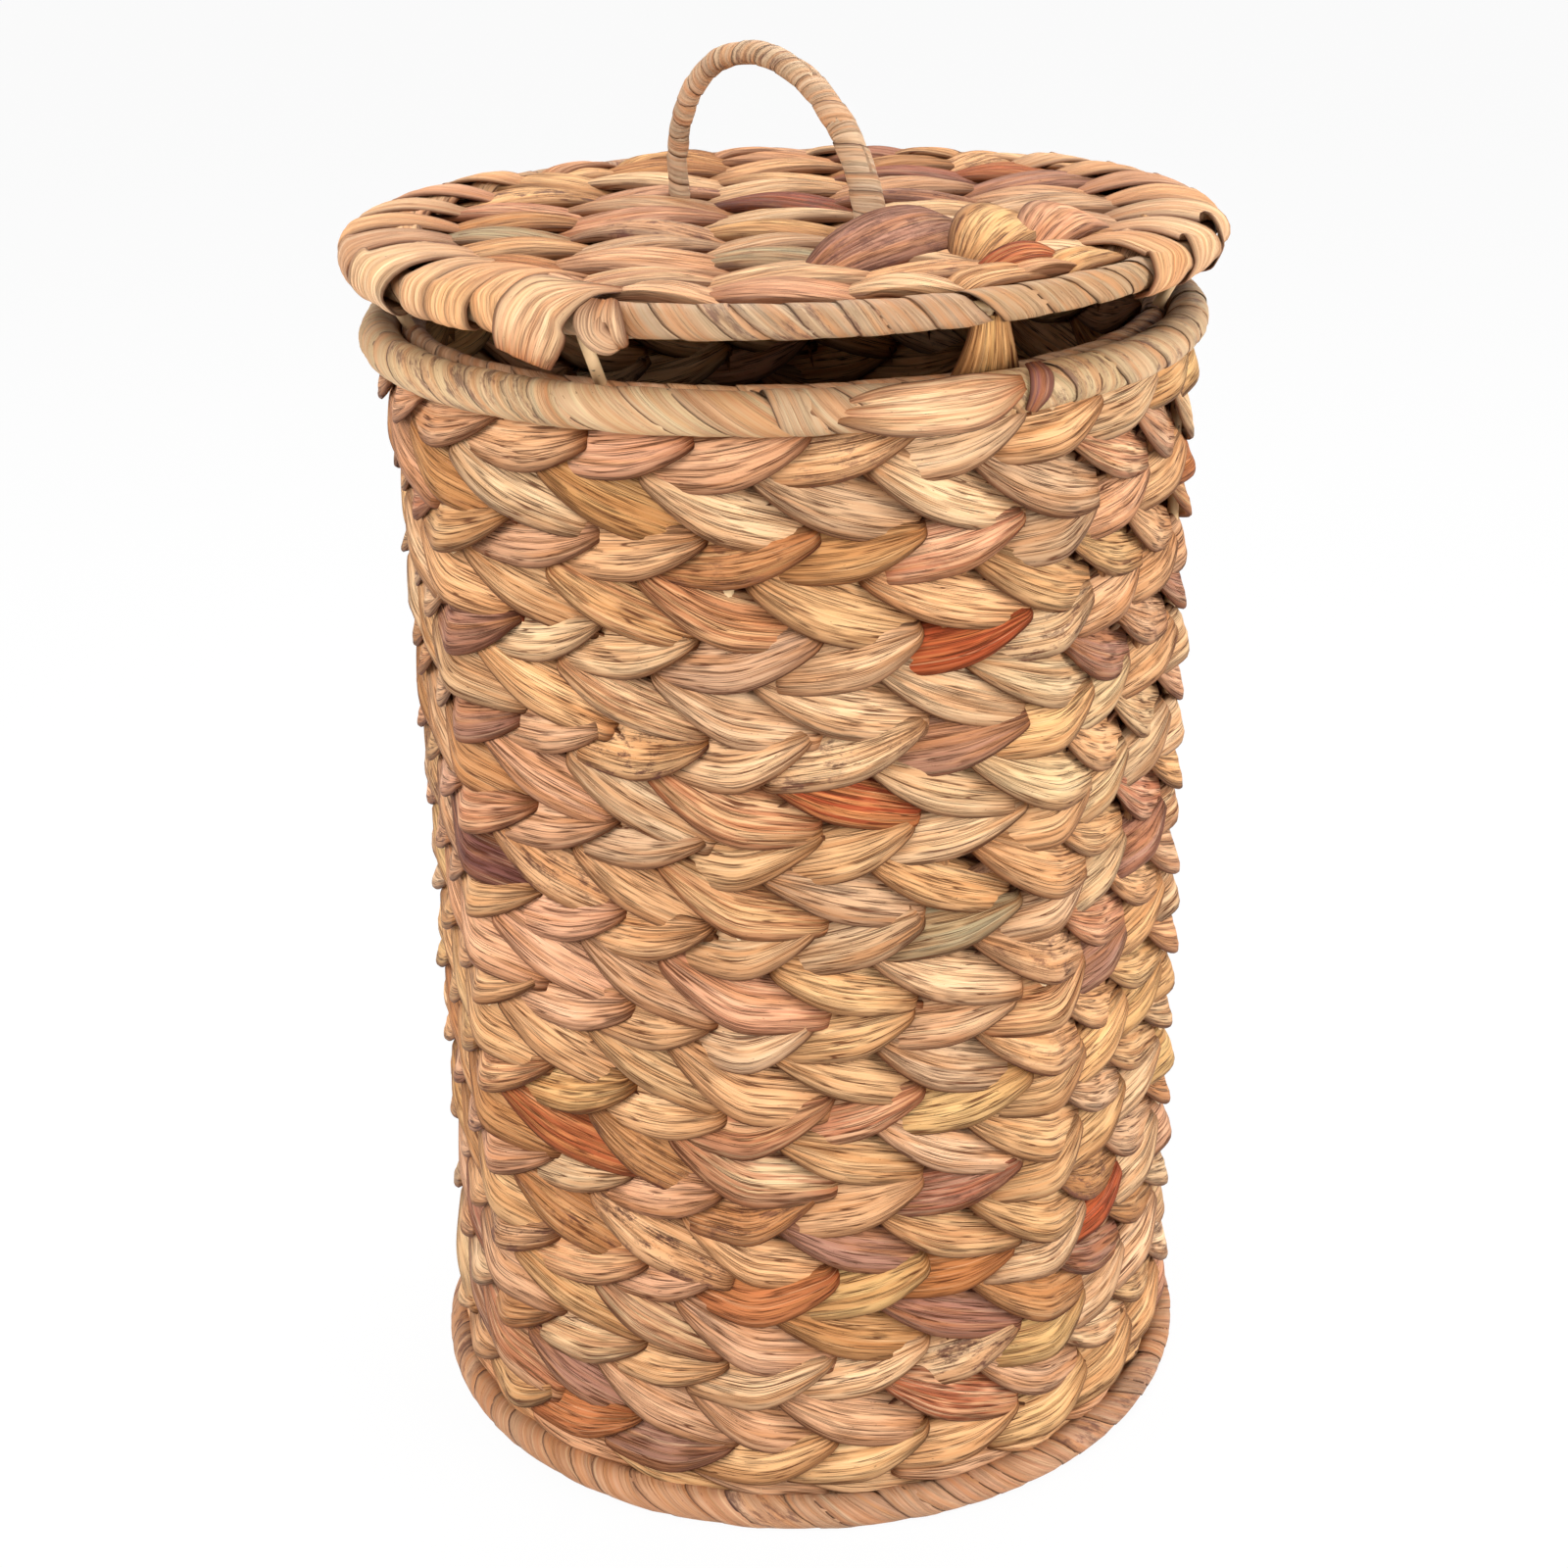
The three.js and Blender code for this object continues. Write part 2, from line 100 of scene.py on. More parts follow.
def weightedSum(tree, total, *terms):
    for value, weight in terms:
        total = maths(tree, "ADD", total, maths(tree, "MULTIPLY", value, weight))
    return total


def mixColour(tree, amount, first, second, mode="MIX"):
    colours = {0: amount, 6: first, 7: second}
    return addNode(tree, "Mix", colours, data_type="RGBA", blend_type=mode).outputs[2]


def ramp(tree, value, low, high):
    span = {"Value": value, "From Min": low, "From Max": high}
    return addNode(tree, "MapRange", span, interpolation_type="SMOOTHSTEP").outputs[0]


def newGroup(name, inputs, outputs):
    group = bpy.data.node_groups.new(name, "ShaderNodeTree")
    for side, sockets in (("INPUT", inputs), ("OUTPUT", outputs)):
        for label, kind in sockets.items():
            group.interface.new_socket(name=label, in_out=side, socket_type="NodeSocket" + kind)
    return group, group.nodes.new("NodeGroupInput").outputs, group.nodes.new("NodeGroupOutput").inputs


def stretchedNoise(tree, fibre, along, across, seed, detail, roughness=0.6):
    scales = {"X": along, "Y": across, "Z": seed}
    place = {axis: maths(tree, "MULTIPLY", fibre[axis], scale) for axis, scale in scales.items()}
    place = addNode(tree, "CombineXYZ", place).outputs[0]
    noise = {"Vector": place, "Scale": 1.0, "Detail": detail, "Roughness": roughness}
    return addNode(tree, "TexNoise", noise).outputs["Fac"]


# Noises drawn out along the leaf: scale along and across it, as shares of the line length and
# count, seed, detail and roughness
leafStreaks = {
    "wide": (0.4, 0.2, 3.7, 2.0), "bands": (0.4, 0.6, 9.1, 3.0, 0.7), "hair": (1.0, 2.4, 5.3, 2.0),
    "breaks": (2.2, 0.4, 8.8, 1.0),
}
# Thin dark lines run where a noise passes its middle value. A layer has the noise's scale across
# and seed, how far from that value a line is full and where it ends, and its strength.
darkLines = {
    "along": 0.6,
    "layers": ((0.42, 6.1, 0.005, 0.028, 1.0), (0.95, 7.7, 0.008, 0.046, 1.0), (1.9, 5.9, 0.008, 0.06, 0.5)),
    # where breaks cut the lines, and the band values and strength of the painted shade in the creases
    "breaks": (0.38, 0.6), "creases": (0.3, 0.38), "creaseShadeStrength": 0.4,
}
leafSurface = {
    "tone": (0.74, 0.6, 0.34),  # plain, added by the wide noise, and by the hair
    "redness": (0.75, 1.25, 1.8),  # powers of the tone: darker places are redder
    "roughness": (0.46, 0.24),  # plain, and added by the hair
    "height": (0.7, -0.5, 0.25),  # of bands, grooves and hair
}
# Stains and painted shade, in the order in which they go on. The groove colour darkens the fibre lines
# and, as painted shade, the low creases. Edge is painted shade along a leaf's edges, where it meets its
# neighbours, with some real darkening of dried edges. A noise has its scale along and across, seed,
# detail and roughness.
leafStainsAndShade = {
    "pale": {"colour": (0.9, 0.63, 0.36), "strength": 0.34, "ramp": (0.52, 0.7)},
    "warm": {"colour": (0.5, 0.19, 0.055), "strength": 0.5, "noise": (24, 2.4, 6.9, 2), "ramp": (0.42, 0.66)},
    "blush": {"colour": (0.36, 0.065, 0.02), "noise": (26, 5.5, 2.9, 3, 0.7), "ramp": (0.42, 0.56)},
    "groove": {"colour": (0.09, 0.02, 0.005)},
    # painted shade along the edges, where a leaf meets its neighbours, partly real dried edges
    "edge": {"colour": (0.075, 0.018, 0.004), "strength": 0.92},
    "fleck": {
        "colour": (0.1, 0.035, 0.015), "strength": 0.6, "noise": (520, 14, 8.3, 2), "ramp": (0.68, 0.75)
    },
    "blotch": {"colour": (0.1, 0.032, 0.024), "noise": (120, 2.6, 4.3, 5, 0.75), "ramp": (0.5, 0.64)},
}


lineLabels = ("Line Count", "Line Length", "Line Darkness", "Edge Sharpness")


def makeLeafGroup():
    # Fibre has metres along, -1 to 1 across and a seed. Marks has dark blotches, red streaks and
    # extra width.
    given = {"Fibre": "Vector", "Marks": "Vector", "Tint": "Color", **dict.fromkeys(lineLabels, "Float")}
    result = {"Colour": "Color", "Roughness": "Float", "Height": "Float"}
    tree, given, result = newGroup("driedLeaf", given, result)
    fibre = addNode(tree, "SeparateXYZ", {"Vector": given["Fibre"]}).outputs
    marks = addNode(tree, "SeparateXYZ", {"Vector": given["Marks"]}).outputs

    def times(first, second):
        return maths(tree, "MULTIPLY", first, second)

    def less(second, first=1.0):
        return maths(tree, "SUBTRACT", first, second)

    lineCount = times(given["Line Count"], maths(tree, "ADD", marks["Z"], 1.0))

    def streaks(along, across, *noise):
        along, across = times(given["Line Length"], along), times(lineCount, across)
        return stretchedNoise(tree, fibre, along, across, *noise)

    wide, bands, hair, breaks = (streaks(*values) for values in leafStreaks.values())
    groove = 0.0
    for across, seed, full, end, strength in darkLines["layers"]:
        offMiddle = less(0.5, streaks(darkLines["along"], across, seed, 0.0))
        line = less(ramp(tree, maths(tree, "ABSOLUTE", offMiddle), full, end))
        groove = maths(tree, "MAXIMUM", groove, times(line, strength))
    groove = times(groove, ramp(tree, breaks, *darkLines["breaks"]))
    # painted shade: the low creases of the bands are darkened with the groove colour
    crease = times(less(ramp(tree, bands, *darkLines["creases"])), darkLines["creaseShadeStrength"])
    groove = maths(tree, "MAXIMUM", groove, crease)

    plainTone, wideTone, hairTone = leafSurface["tone"]
    tone = weightedSum(tree, plainTone, (wide, wideTone), (less(0.5, hair), hairTone))
    shades = {k: maths(tree, "POWER", tone, power) for k, power in enumerate(leafSurface["redness"])}
    toneColour = addNode(tree, "CombineColor", shades).outputs[0]
    colour = mixColour(tree, 1.0, given["Tint"], toneColour, "MULTIPLY")
    # painted shade: darker towards a leaf's edges, where it meets its neighbours, partly real dried edges
    edge = maths(tree, "POWER", maths(tree, "ABSOLUTE", fibre["Y"]), given["Edge Sharpness"])
    strengths = {"blush": marks["Y"], "groove": given["Line Darkness"], "blotch": marks["X"]}
    covers = {"groove": groove, "edge": edge}
    for name, stain in leafStainsAndShade.items():
        if "ramp" in stain:
            noise = stretchedNoise(tree, fibre, *stain["noise"]) if "noise" in stain else bands
            covers[name] = ramp(tree, noise, *stain["ramp"])
        amount = times(covers[name], strengths.get(name, stain.get("strength")))
        colour = mixColour(tree, amount, colour, (*stain["colour"], 1))
    plain, added = leafSurface["roughness"]
    roughness = weightedSum(tree, plain, (hair, added))
    height = weightedSum(tree, 0.0, *zip((bands, groove, hair), leafSurface["height"]))
    for label, value in (("Colour", colour), ("Roughness", roughness), ("Height", height)):
        tree.links.new(value, result[label])
    return tree


leafGroup = makeLeafGroup()


def newMaterial(name):
    material = bpy.data.materials.new(name)
    material.use_nodes = True
    return material, material.node_tree, material.node_tree.nodes["Principled BSDF"]


def feedShader(tree, shader, colour, roughness, height, strength, depth):
    bump = addNode(tree, "Bump", {"Height": height, "Strength": strength, "Distance": depth * metre})
    for name, value in (("Base Color", colour), ("Roughness", roughness), ("Normal", bump.outputs[0])):
        tree.links.new(value, shader.inputs[name])


def leafMaterial(name, bump, gloss, *lines):
    material, tree, shader = newMaterial(name)
    shader.inputs["Specular IOR Level"].default_value = gloss
    given = dict(zip(lineLabels, lines))
    for label, output in (("Fibre", "Vector"), ("Marks", "Vector"), ("Tint", "Color")):
        given[label] = addNode(tree, "Attribute", attribute_name=label.lower()).outputs[output]
    leaf = addNode(tree, "Group", given, node_tree=leafGroup).outputs
    feedShader(tree, shader, leaf["Colour"], leaf["Roughness"], leaf["Height"], 1.0, bump)
    return material


# Leaf finishes: depth of the bump in mm, gloss, lines across the leaf, how short the lines are,
# how dark they are, and how narrow the painted shade along the edges is
leafFinishes = {
    "strandLeaf": (0.85, 0.1, 15, 36, 0.9, 3.4),
    "foldedLeaf": (0.6, 0.2, 17, 30, 0.4, 5.0),
    "wrapLeaf": (0.35, 0.25, 10, 30, 0.2, 12.0),
    "stakeFibre": (0.5, 0.1, 12, 60, 0.7, 6.0),
}
leaves = {name: leafMaterial(name, *look) for name, look in leafFinishes.items()}
strandLeaf, foldedLeaf, wrapLeaf, stakeFibre = leaves.values()

# Scale and detail of the noises, and the values between which dust and chips come in
creamPaint = {
    "colours": ((242, 208, 162), (216, 178, 128)),
    "dust": (90.0, 4.0, 0.35, 0.7),
    "chips": (420.0, 2.0, 0.66, 0.74),
    "chipped": (0.2, 0.15, 0.1, 1),
    "roughness": (0.28, 0.3),  # when clean, and added by dust
    "bump": (0.4, 0.1),
}


def makeWireMaterial():
    material, tree, shader = newMaterial("creamWire")
    shader.inputs["Metallic"].default_value = 0.0
    place = addNode(tree, "TexCoord").outputs["Object"]
    noises, masks = [], []
    for scale, detail, low, high in (creamPaint["dust"], creamPaint["chips"]):
        noise = addNode(tree, "TexNoise", {"Vector": place, "Scale": scale, "Detail": detail}).outputs["Fac"]
        noises.append(noise)
        masks.append(ramp(tree, noise, low, high))
    clean, dusty = ((*linearColour(*colour), 1) for colour in creamPaint["colours"])
    colour = mixColour(tree, masks[0], clean, dusty)
    colour = mixColour(tree, masks[1], colour, creamPaint["chipped"])
    plain, added = creamPaint["roughness"]
    roughness = weightedSum(tree, plain, (noises[0], added))
    feedShader(tree, shader, colour, roughness, noises[1], *creamPaint["bump"])
    return material


creamWire = makeWireMaterial()
print("materials made")


def sheetFaces(count, steps, sides, closed=False):
    rows = np.arange(steps if closed else steps - 1)
    cols = np.arange(sides)
    here, side = np.meshgrid(rows, cols, indexing="ij")
    ahead, beside = (here + 1) % steps, (side + 1) % sides
    quads = np.stack(
        [here * sides + side, here * sides + beside, ahead * sides + beside, ahead * sides + side], -1
    ).reshape(-1, 4)
    if not closed:  # flat caps made of strips between the two faces of the section
        cap = np.array([[k, sides - 1 - k, sides - 2 - k, k + 1] for k in range(sides // 2 - 1)])
        quads = np.concatenate([quads, cap, cap[:, ::-1] + (steps - 1) * sides])
    return (quads[None] + (np.arange(count) * steps * sides)[:, None, None]).reshape(-1, 4)


slots = {strandLeaf: "woven_leaf", foldedLeaf: "woven_leaf"}
slots |= {wrapLeaf: "leaf_wrap", stakeFibre: "fibre_stake", creamWire: "frame_wire"}


def makePiece(name, parts, material, body, node=None):
    firsts = np.cumsum([0] + [part["points"].size // 3 for part in parts])
    points = np.concatenate([part["points"].reshape(-1, 3) for part in parts]) * metre
    faces = np.concatenate([part["faces"] + first for part, first in zip(parts, firsts)])
    mesh = bpy.data.meshes.new(name)
    mesh.vertices.add(len(points))
    mesh.vertices.foreach_set("co", points.ravel())
    mesh.loops.add(faces.size)
    mesh.loops.foreach_set("vertex_index", faces.ravel())
    mesh.polygons.add(len(faces))
    mesh.polygons.foreach_set("loop_start", np.arange(0, faces.size, 4))
    mesh.update(calc_edges=True)
    for label in ("fibre", "tint", "marks"):
        values = [np.broadcast_to(part[label], part["points"].shape).reshape(-1, 3) for part in parts]
        values = np.concatenate(values)
        kind, field = "FLOAT_VECTOR", "vector"
        if label == "tint":  # a colour has a fourth channel
            kind, field = "FLOAT_COLOR", "color"
            values = np.concatenate([values, np.ones((len(values), 1))], 1)
        mesh.attributes.new(label, kind, "POINT").data.foreach_set(field, values.ravel())
    mesh.shade_smooth()
    mesh.materials.append(material)
    piece = bpy.data.objects.new(name, mesh)
    bpy.context.collection.objects.link(piece)
    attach(piece, body)
    if node:
        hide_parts(node)


def leafPart(points, faces, along, across, seed, tint, marks):
    # along is in mm, and across goes from -1 to 1
    fibre = np.empty(points.shape)
    for k, values in enumerate((along * metre, across, seed)):
        fibre[..., k] = values
    return {"points": points, "faces": faces, "fibre": fibre, "tint": tint, "marks": marks}


def bladeSection(facePoints, backPoints):
    # -1 to 1 over the leaf's face and back along its back
    front = np.linspace(0, np.pi, facePoints)
    back = np.linspace(0, np.pi, backPoints + 2)[1:-1]
    across = np.concatenate([-np.cos(front), np.cos(back)])
    face = np.concatenate([np.ones(facePoints), -np.ones(backPoints)])
    return across, face


# Back is a share of the crown. Waves have their share, the fewest and most across, and drift.
leafRelief = {
    "back": 0.35, "ridge": 0.24, "waves": ((0.6, 2.2, 4.2, 0.6), (0.4, 5, 8, 1)), "creaseWidth": 0.13,
    "creaseDepth": (0.2, 1.4),
    "fullCrown": 2.5,  # leaves with a lower crown have less relief
}


def leafBlades(centre, across, out, half, crown, section, rng, ridge=leafRelief["ridge"]):
    # centre, across and out are (leaves, steps, 3); half and crown are (leaves, steps)
    side, face = section
    leaves, steps = half.shape
    along = np.linspace(0, 1, steps)[None, :, None]
    a = side[None, None, :]
    crown = crown[..., None]

    def pick(low, high):
        return rng.uniform(low, high, (leaves, 1, 1))

    roundness = np.sqrt(np.maximum(1 - a**2, 0))
    wave = 0
    for share, fewest, most, drift in leafRelief["waves"]:
        phase = pick(fewest, most) * a + pick(0, 2) + pick(-drift, drift) * along
        wave = wave + share * np.sin(np.pi * phase)
    creasePlace = (a - pick(-0.6, 0.6) - pick(-0.3, 0.3) * along) / leafRelief["creaseWidth"]
    crease = np.exp(-(creasePlace**2)) * pick(*leafRelief["creaseDepth"])
    relief = (wave - crease) * ridge * roundness**0.7
    lift = np.where(face > 0, crown * roundness**0.6, -leafRelief["back"] * crown * roundness)
    lift = lift + np.where(face > 0, relief, 0) * np.minimum(crown / leafRelief["fullCrown"], 1)
    points = centre[:, :, None, :] + across[:, :, None, :] * (half[..., None] * a)[..., None]
    return points + out[:, :, None, :] * lift[..., None]


# Marks of a strand: share of the strands that have them, weakest, strongest, and on the others
markChances = {"darkBlotches": (0.14, 0.2, 0.9, 0.03), "redStreaks": (0.16, 0.2, 0.6, 0.05)}


def pickMarks(rng, count):
    marks = np.zeros((count, 3))
    for column, (share, weakest, strongest, others) in enumerate(markChances.values()):
        marks[:, column] = np.where(rng.random(count) < share, rng.uniform(weakest, strongest, count), others)
    return marks


# A strand's ends are darker and redder: painted shade where they dive under their neighbours, and partly the
# leaf's own browner ends.
brownAndShadedEnds = {"loss": (0.56, 0.76, 0.88), "power": 2.4}  # painted shade at a strand's ends, partly browner leaf
usualHalfWidth = 8


def leafLooks(points, half, section, tints, marks, rng):
    leaves, steps = half.shape
    gap = np.linalg.norm(np.diff(points.mean(2), axis=1), axis=-1)
    along = np.concatenate([np.zeros((leaves, 1)), np.cumsum(gap, 1)], 1)[:, :, None]
    seed = rng.uniform(0, 40, (leaves, 1, 1))
    tip = (np.abs(np.linspace(-1, 1, steps)) ** brownAndShadedEnds["power"])[:, None, None]
    # painted shade towards both ends, with some real browning of the leaf
    tints = tints[:, None, None, :] * (1 - np.array(brownAndShadedEnds["loss"]) * tip)
    marks = np.array(marks, float)
    marks[:, 2] = half.max(1) / usualHalfWidth - 1  # a wide leaf has more lines
    faces = sheetFaces(leaves, steps, len(section[0]))
    return leafPart(points, faces, along, section[0], seed, tints, marks[:, None, None, :])


def unit(vectors):
    return vectors / np.maximum(np.linalg.norm(vectors, axis=-1, keepdims=True), 1e-9)


# Stakes stand every stakeAngle, and every third one is a wire of the frame, at a corner of the wall
wall = {
    "courses": 23, "topZ": 338.0, "pitch": 14.24, "stakes": 24, "stakeAngle": 15.0, "firstAngle": -8.0,
    "cornerEvery": 3, "cornerRadius": 116.5,
    "cornerSoftness": 14,  # how far a corner is rounded to each side, in quarter degrees
    "endRadius": 115.4, "lowZ": 4.75, "highZ": 349.0, "stitchPitch": 30.4,
}
stakeAngles = wall["firstAngle"] + np.arange(wall["stakes"]) * wall["stakeAngle"]
# rise is the height from the middle of a strand to its upper end, bend lifts both ends,
# reach is how far out the middle lies, and a positive tilt brings the lower edge out
risingStitch = {
    "length": 47.0, "width": 17.2, "rise": 3.6, "bend": 2.2, "reach": 3.2, "crown": 2.1, "plunge": 2.4,
    "dive": 3.4, "lowerTip": 0.6, "upperTip": 0.16, "tilt": 21.0, "steps": 27,
}
fallingStitch = {
    "length": 50.0, "width": 17.6, "rise": 9.2, "bend": 2.4, "reach": 3.3, "crown": 1.9, "plunge": 2.0,
    "dive": 3.2, "lowerTip": 0.56, "upperTip": 0.22, "tilt": 18.0, "steps": 27,
}
# How far each strand may differ from the others, either way
stitchSpread = {
    "length": 4, "width": 2.4, "reach": 0.5, "shift": 1.4, "rise": 1.4, "bend": 1.0, "height": 0.9,
    "tilt": 7, "crownShare": 0.15,
}
innerStitch = {"steps": 13, "dive": 0.5}
outerSection, innerSection, underSection = bladeSection(17, 5), bladeSection(9, 3), bladeSection(11, 3)


def makeWallTable():
    angles = np.arange(0, 360, 0.25)
    corner = wall["cornerEvery"] * wall["stakeAngle"]
    fromMiddle = np.radians(angles % corner - corner / 2)
    sides = wall["cornerRadius"] * math.cos(math.radians(corner / 2)) / np.cos(fromMiddle)
    soft = wall["cornerSoftness"]
    window = np.hanning(2 * soft + 1)
    padded = np.concatenate([sides[-soft:], sides, sides[:soft]])
    return angles, np.convolve(padded, window / window.sum(), mode="valid")


wallTable = makeWallTable()


def wallRadius(angle, z):
    share = np.clip((z - wall["lowZ"]) / (wall["highZ"] - wall["lowZ"]), 0, 1)
    bow = 1 - np.abs(2 * share - 1) ** 3  # the wall is round at both hoops
    sides = np.interp((angle - wall["firstAngle"]) % 360, *wallTable, period=360)
    return wall["endRadius"] + (sides - wall["endRadius"]) * bow


def aroundAxis(radius, turn, z):
    return np.stack([radius * np.sin(turn), -radius * np.cos(turn), z], -1)


def wrapOnWall(points, centreZ):
    # points are mm along the wall, mm up, mm outward
    angle = stakeAngles[:, None, None] + points[..., 0] * wall["stakeAngle"] / wall["stitchPitch"]
    z = centreZ + points[..., 1]
    return aroundAxis(wallRadius(angle, z) + points[..., 2], np.radians(angle), z)


def varier(rng, count, size, spread):
    def vary(name):
        return size.get(name, 0) + rng.uniform(-spread[name], spread[name], (count, 1))

    return vary


def taper(t, size, rng):
    # half width along a stitch, 1 at its widest: a slender upper end and a blunter lower end
    belly = rng.uniform(-0.14, 0.14, (len(t), 1))
    t = (t - belly) / (1 + np.abs(belly))
    upper = 1 - (1 - size["upperTip"]) * np.maximum(t, 0) ** 1.7
    lower = 1 - (1 - size["lowerTip"]) * np.maximum(-t, 0) ** 2.3
    return np.minimum(upper, lower)


def stitchDepth(t, size):
    # the lower end lies under the next strand's upper end, and dives deeper at the last
    ease = np.clip((0.3 - t) / 0.9, 0, 1)
    lower = ease**2 * (3 - 2 * ease) * size["plunge"]
    last = np.clip((np.abs(t) - 0.84) / 0.16, 0, 1) ** 2 * size["dive"] * np.where(t < 0, 1.4, 1)
    return lower + last


def stitchLine(y, t, vary):
    return y + vary("rise") * t + vary("bend") * (t**2 - 0.33) + vary("height")


def stitchBlades(centre, half, width, turned, size, vary, section, rng):
    flat = unit(np.gradient(centre, axis=1) * np.array([1, 1, 0.0]))
    across = np.stack([-flat[..., 1], flat[..., 0], np.zeros(half.shape)], -1) * turned
    out = np.broadcast_to(np.array([0, 0, 1.0]), across.shape)
    tilt = -np.radians(vary("tilt"))
    cos, sin = np.cos(tilt)[..., None], np.sin(tilt)[..., None]
    crown = size["crown"] * width**0.8 * (1 + vary("crownShare"))
    return leafBlades(centre, across * cos + out * sin, out * cos - across * sin, half, crown, section, rng)


def stitchLooks(points, half, turned, outside, section, tints, marks, rng):
    looks = leafLooks(points, half, section, tints, marks, rng)
    if not outside:
        looks["points"] = points * np.array([1, 1, -1.0])
    if (turned > 0) != outside:  # mirrored leaves keep their faces outward
        looks["faces"] = looks["faces"][:, ::-1]
    return looks


def wallStitches(rng, slant, size, outside, tints, marks):
    count = wall["stakes"]
    section = outerSection if outside else innerSection
    even = np.linspace(0, 1, size["steps"])[None]
    s = np.repeat(0.5 * even + 0.25 * (1 - np.cos(np.pi * even)), count, 0)
    t = 2 * s - 1
    vary = varier(rng, count, size, stitchSpread)
    length = vary("length")
    widerAtCorners = np.where(np.arange(count) % wall["cornerEvery"] == 0, 0.5, 0)[:, None]
    half = vary("width") / 2 + widerAtCorners
    width = taper(t, size, rng)
    half = half * width
    depth = vary("reach") - stitchDepth(t, size)
    turned = slant if outside else -slant
    x = turned * length * (s - 0.5) + vary("shift")
    centre = np.stack([x, stitchLine(0, t, vary), depth], -1)
    points = stitchBlades(centre, half, width, turned, size, vary, section, rng)
    return stitchLooks(points, half, turned, outside, section, tints, marks, rng)


# Strands that stand out: course from the top, stake from the front left upright, colour,
# dark blotches, red streaks
oddStrands = [
    (5, 2, "red", 0.1, 0.8), (8, 1, "rust", 0.0, 1.0), (19, 4, "red", 0.3, 0.9), (7, -1, "tan", 0.9, 0.0),
    (17, 2, "mauve", 0.5, 0.5), (11, 2, "greyGreen", 0.0, 0.0), (14, 2, "greyTan", 0.2, 0.0),
    (3, 0, "brown", 0.5, 0.3), (7, -3, "mauve", 0.3, 0.1), (10, -3, "purple", 0.3, 0.1),
    (18, -2, "brown", 0.6, 0.2), (3, 2, "pinkTan", 0.3, 0.5), (9, -1, "greyTan", 0.1, 0.1),
    (16, -2, "rust", 0.2, 0.7), (22, 2, "pinkTan", 0.1, 0.8), (11, 5, "mauve", 0.4, 0.2),
    (5, -3, "mauve", 0.4, 0.1),
]


def weaveCourse(name, node, rng, slant, size, z, outerColours, innerColours):
    parts = [wallStitches(rng, slant, size, True, *outerColours)]
    parts.append(wallStitches(rng, slant, {**size, **innerStitch}, False, *innerColours))
    for part in parts:
        part["points"] = wrapOnWall(part["points"], z)
    makePiece(name, parts, strandLeaf, "basket", node)


def weaveWall():
    for course in range(1, wall["courses"] + 1):
        rng = draws("wall", course)
        slant = 1 if course % 2 else -1
        z = wall["topZ"] - (course - 1) * wall["pitch"]
        tints, marks = pickTints(rng, wall["stakes"]), pickMarks(rng, wall["stakes"])
        for row, stake, colour, stain, blush in oddStrands:
            if row == course:
                tints[stake % wall["stakes"]] = leafColours[colour]
                marks[stake % wall["stakes"]] = (stain, blush, 0)
        size = risingStitch if slant > 0 else fallingStitch
        name, node = f"sideCourse{course:02d}", f"side_course_{course:02d}"
        weaveCourse(name, node, rng, slant, size, z, (tints, marks), (tints[::-1], marks[::-1]))


weaveWall()
print("wall woven")

footCourse = {
    **fallingStitch,
    "z": 13.9, "length": 44.0, "width": 10.0, "rise": 2.5, "bend": 0.5, "reach": 2.2, "tilt": 8.0,
    "steps": 19,
}


def weaveFootCourse():
    rng = draws("footCourse")
    colours = pickTints(rng, wall["stakes"]), pickMarks(rng, wall["stakes"])
    weaveCourse("footCourse", "foot_course", rng, -1, footCourse, footCourse["z"], colours, colours)


weaveFootCourse()


def sweep(points, radius, sides, closed=False, twist=0.0):
    points = np.asarray(points, float)
    radius = np.broadcast_to(radius, len(points))
    if closed:
        along = unit(np.roll(points, -1, 0) - np.roll(points, 1, 0))
    else:
        along = unit(np.gradient(points, axis=0))
    start = np.array([0, 0, 1.0]) if abs(along[0][2]) < 0.9 else np.array([1.0, 0, 0])
    normals = []
    for direction in along:
        start = unit(start - direction * start.dot(direction))
        normals.append(start)
    normals = np.array(normals)
    beside = np.cross(along, normals)
    turn = np.linspace(0, 2 * np.pi, sides, endpoint=False)[None] + twist * np.arange(len(points))[:, None]
    ring = normals[:, None] * np.cos(turn)[..., None] + beside[:, None] * np.sin(turn)[..., None]
    return points[:, None] + ring * radius[:, None, None], sheetFaces(1, len(points), sides, closed)


def tubePart(points, faces, tint=(0.5, 0.4, 0.25), seed=1.0, marks=(0, 0, 0)):
    along = np.linalg.norm(np.diff(points.mean(1), axis=0), axis=-1)
    along = np.concatenate([[0], np.cumsum(along)])[:, None]
    side = np.linspace(0, 1, points.shape[1], endpoint=False)
    return leafPart(points, faces, along, 2 * np.abs(2 * side - 1) - 1, seed, tint, marks)


stake = {
    "radius": 2.0, "sides": 12, "steps": 90, "ripple": 0.25, "rippleRate": 0.35, "twist": 0.12,
    "short": 0.3, "colour": (158, 112, 72), "shade": (0.8, 1.15), "marks": (0.3, 0.1, 0),
}


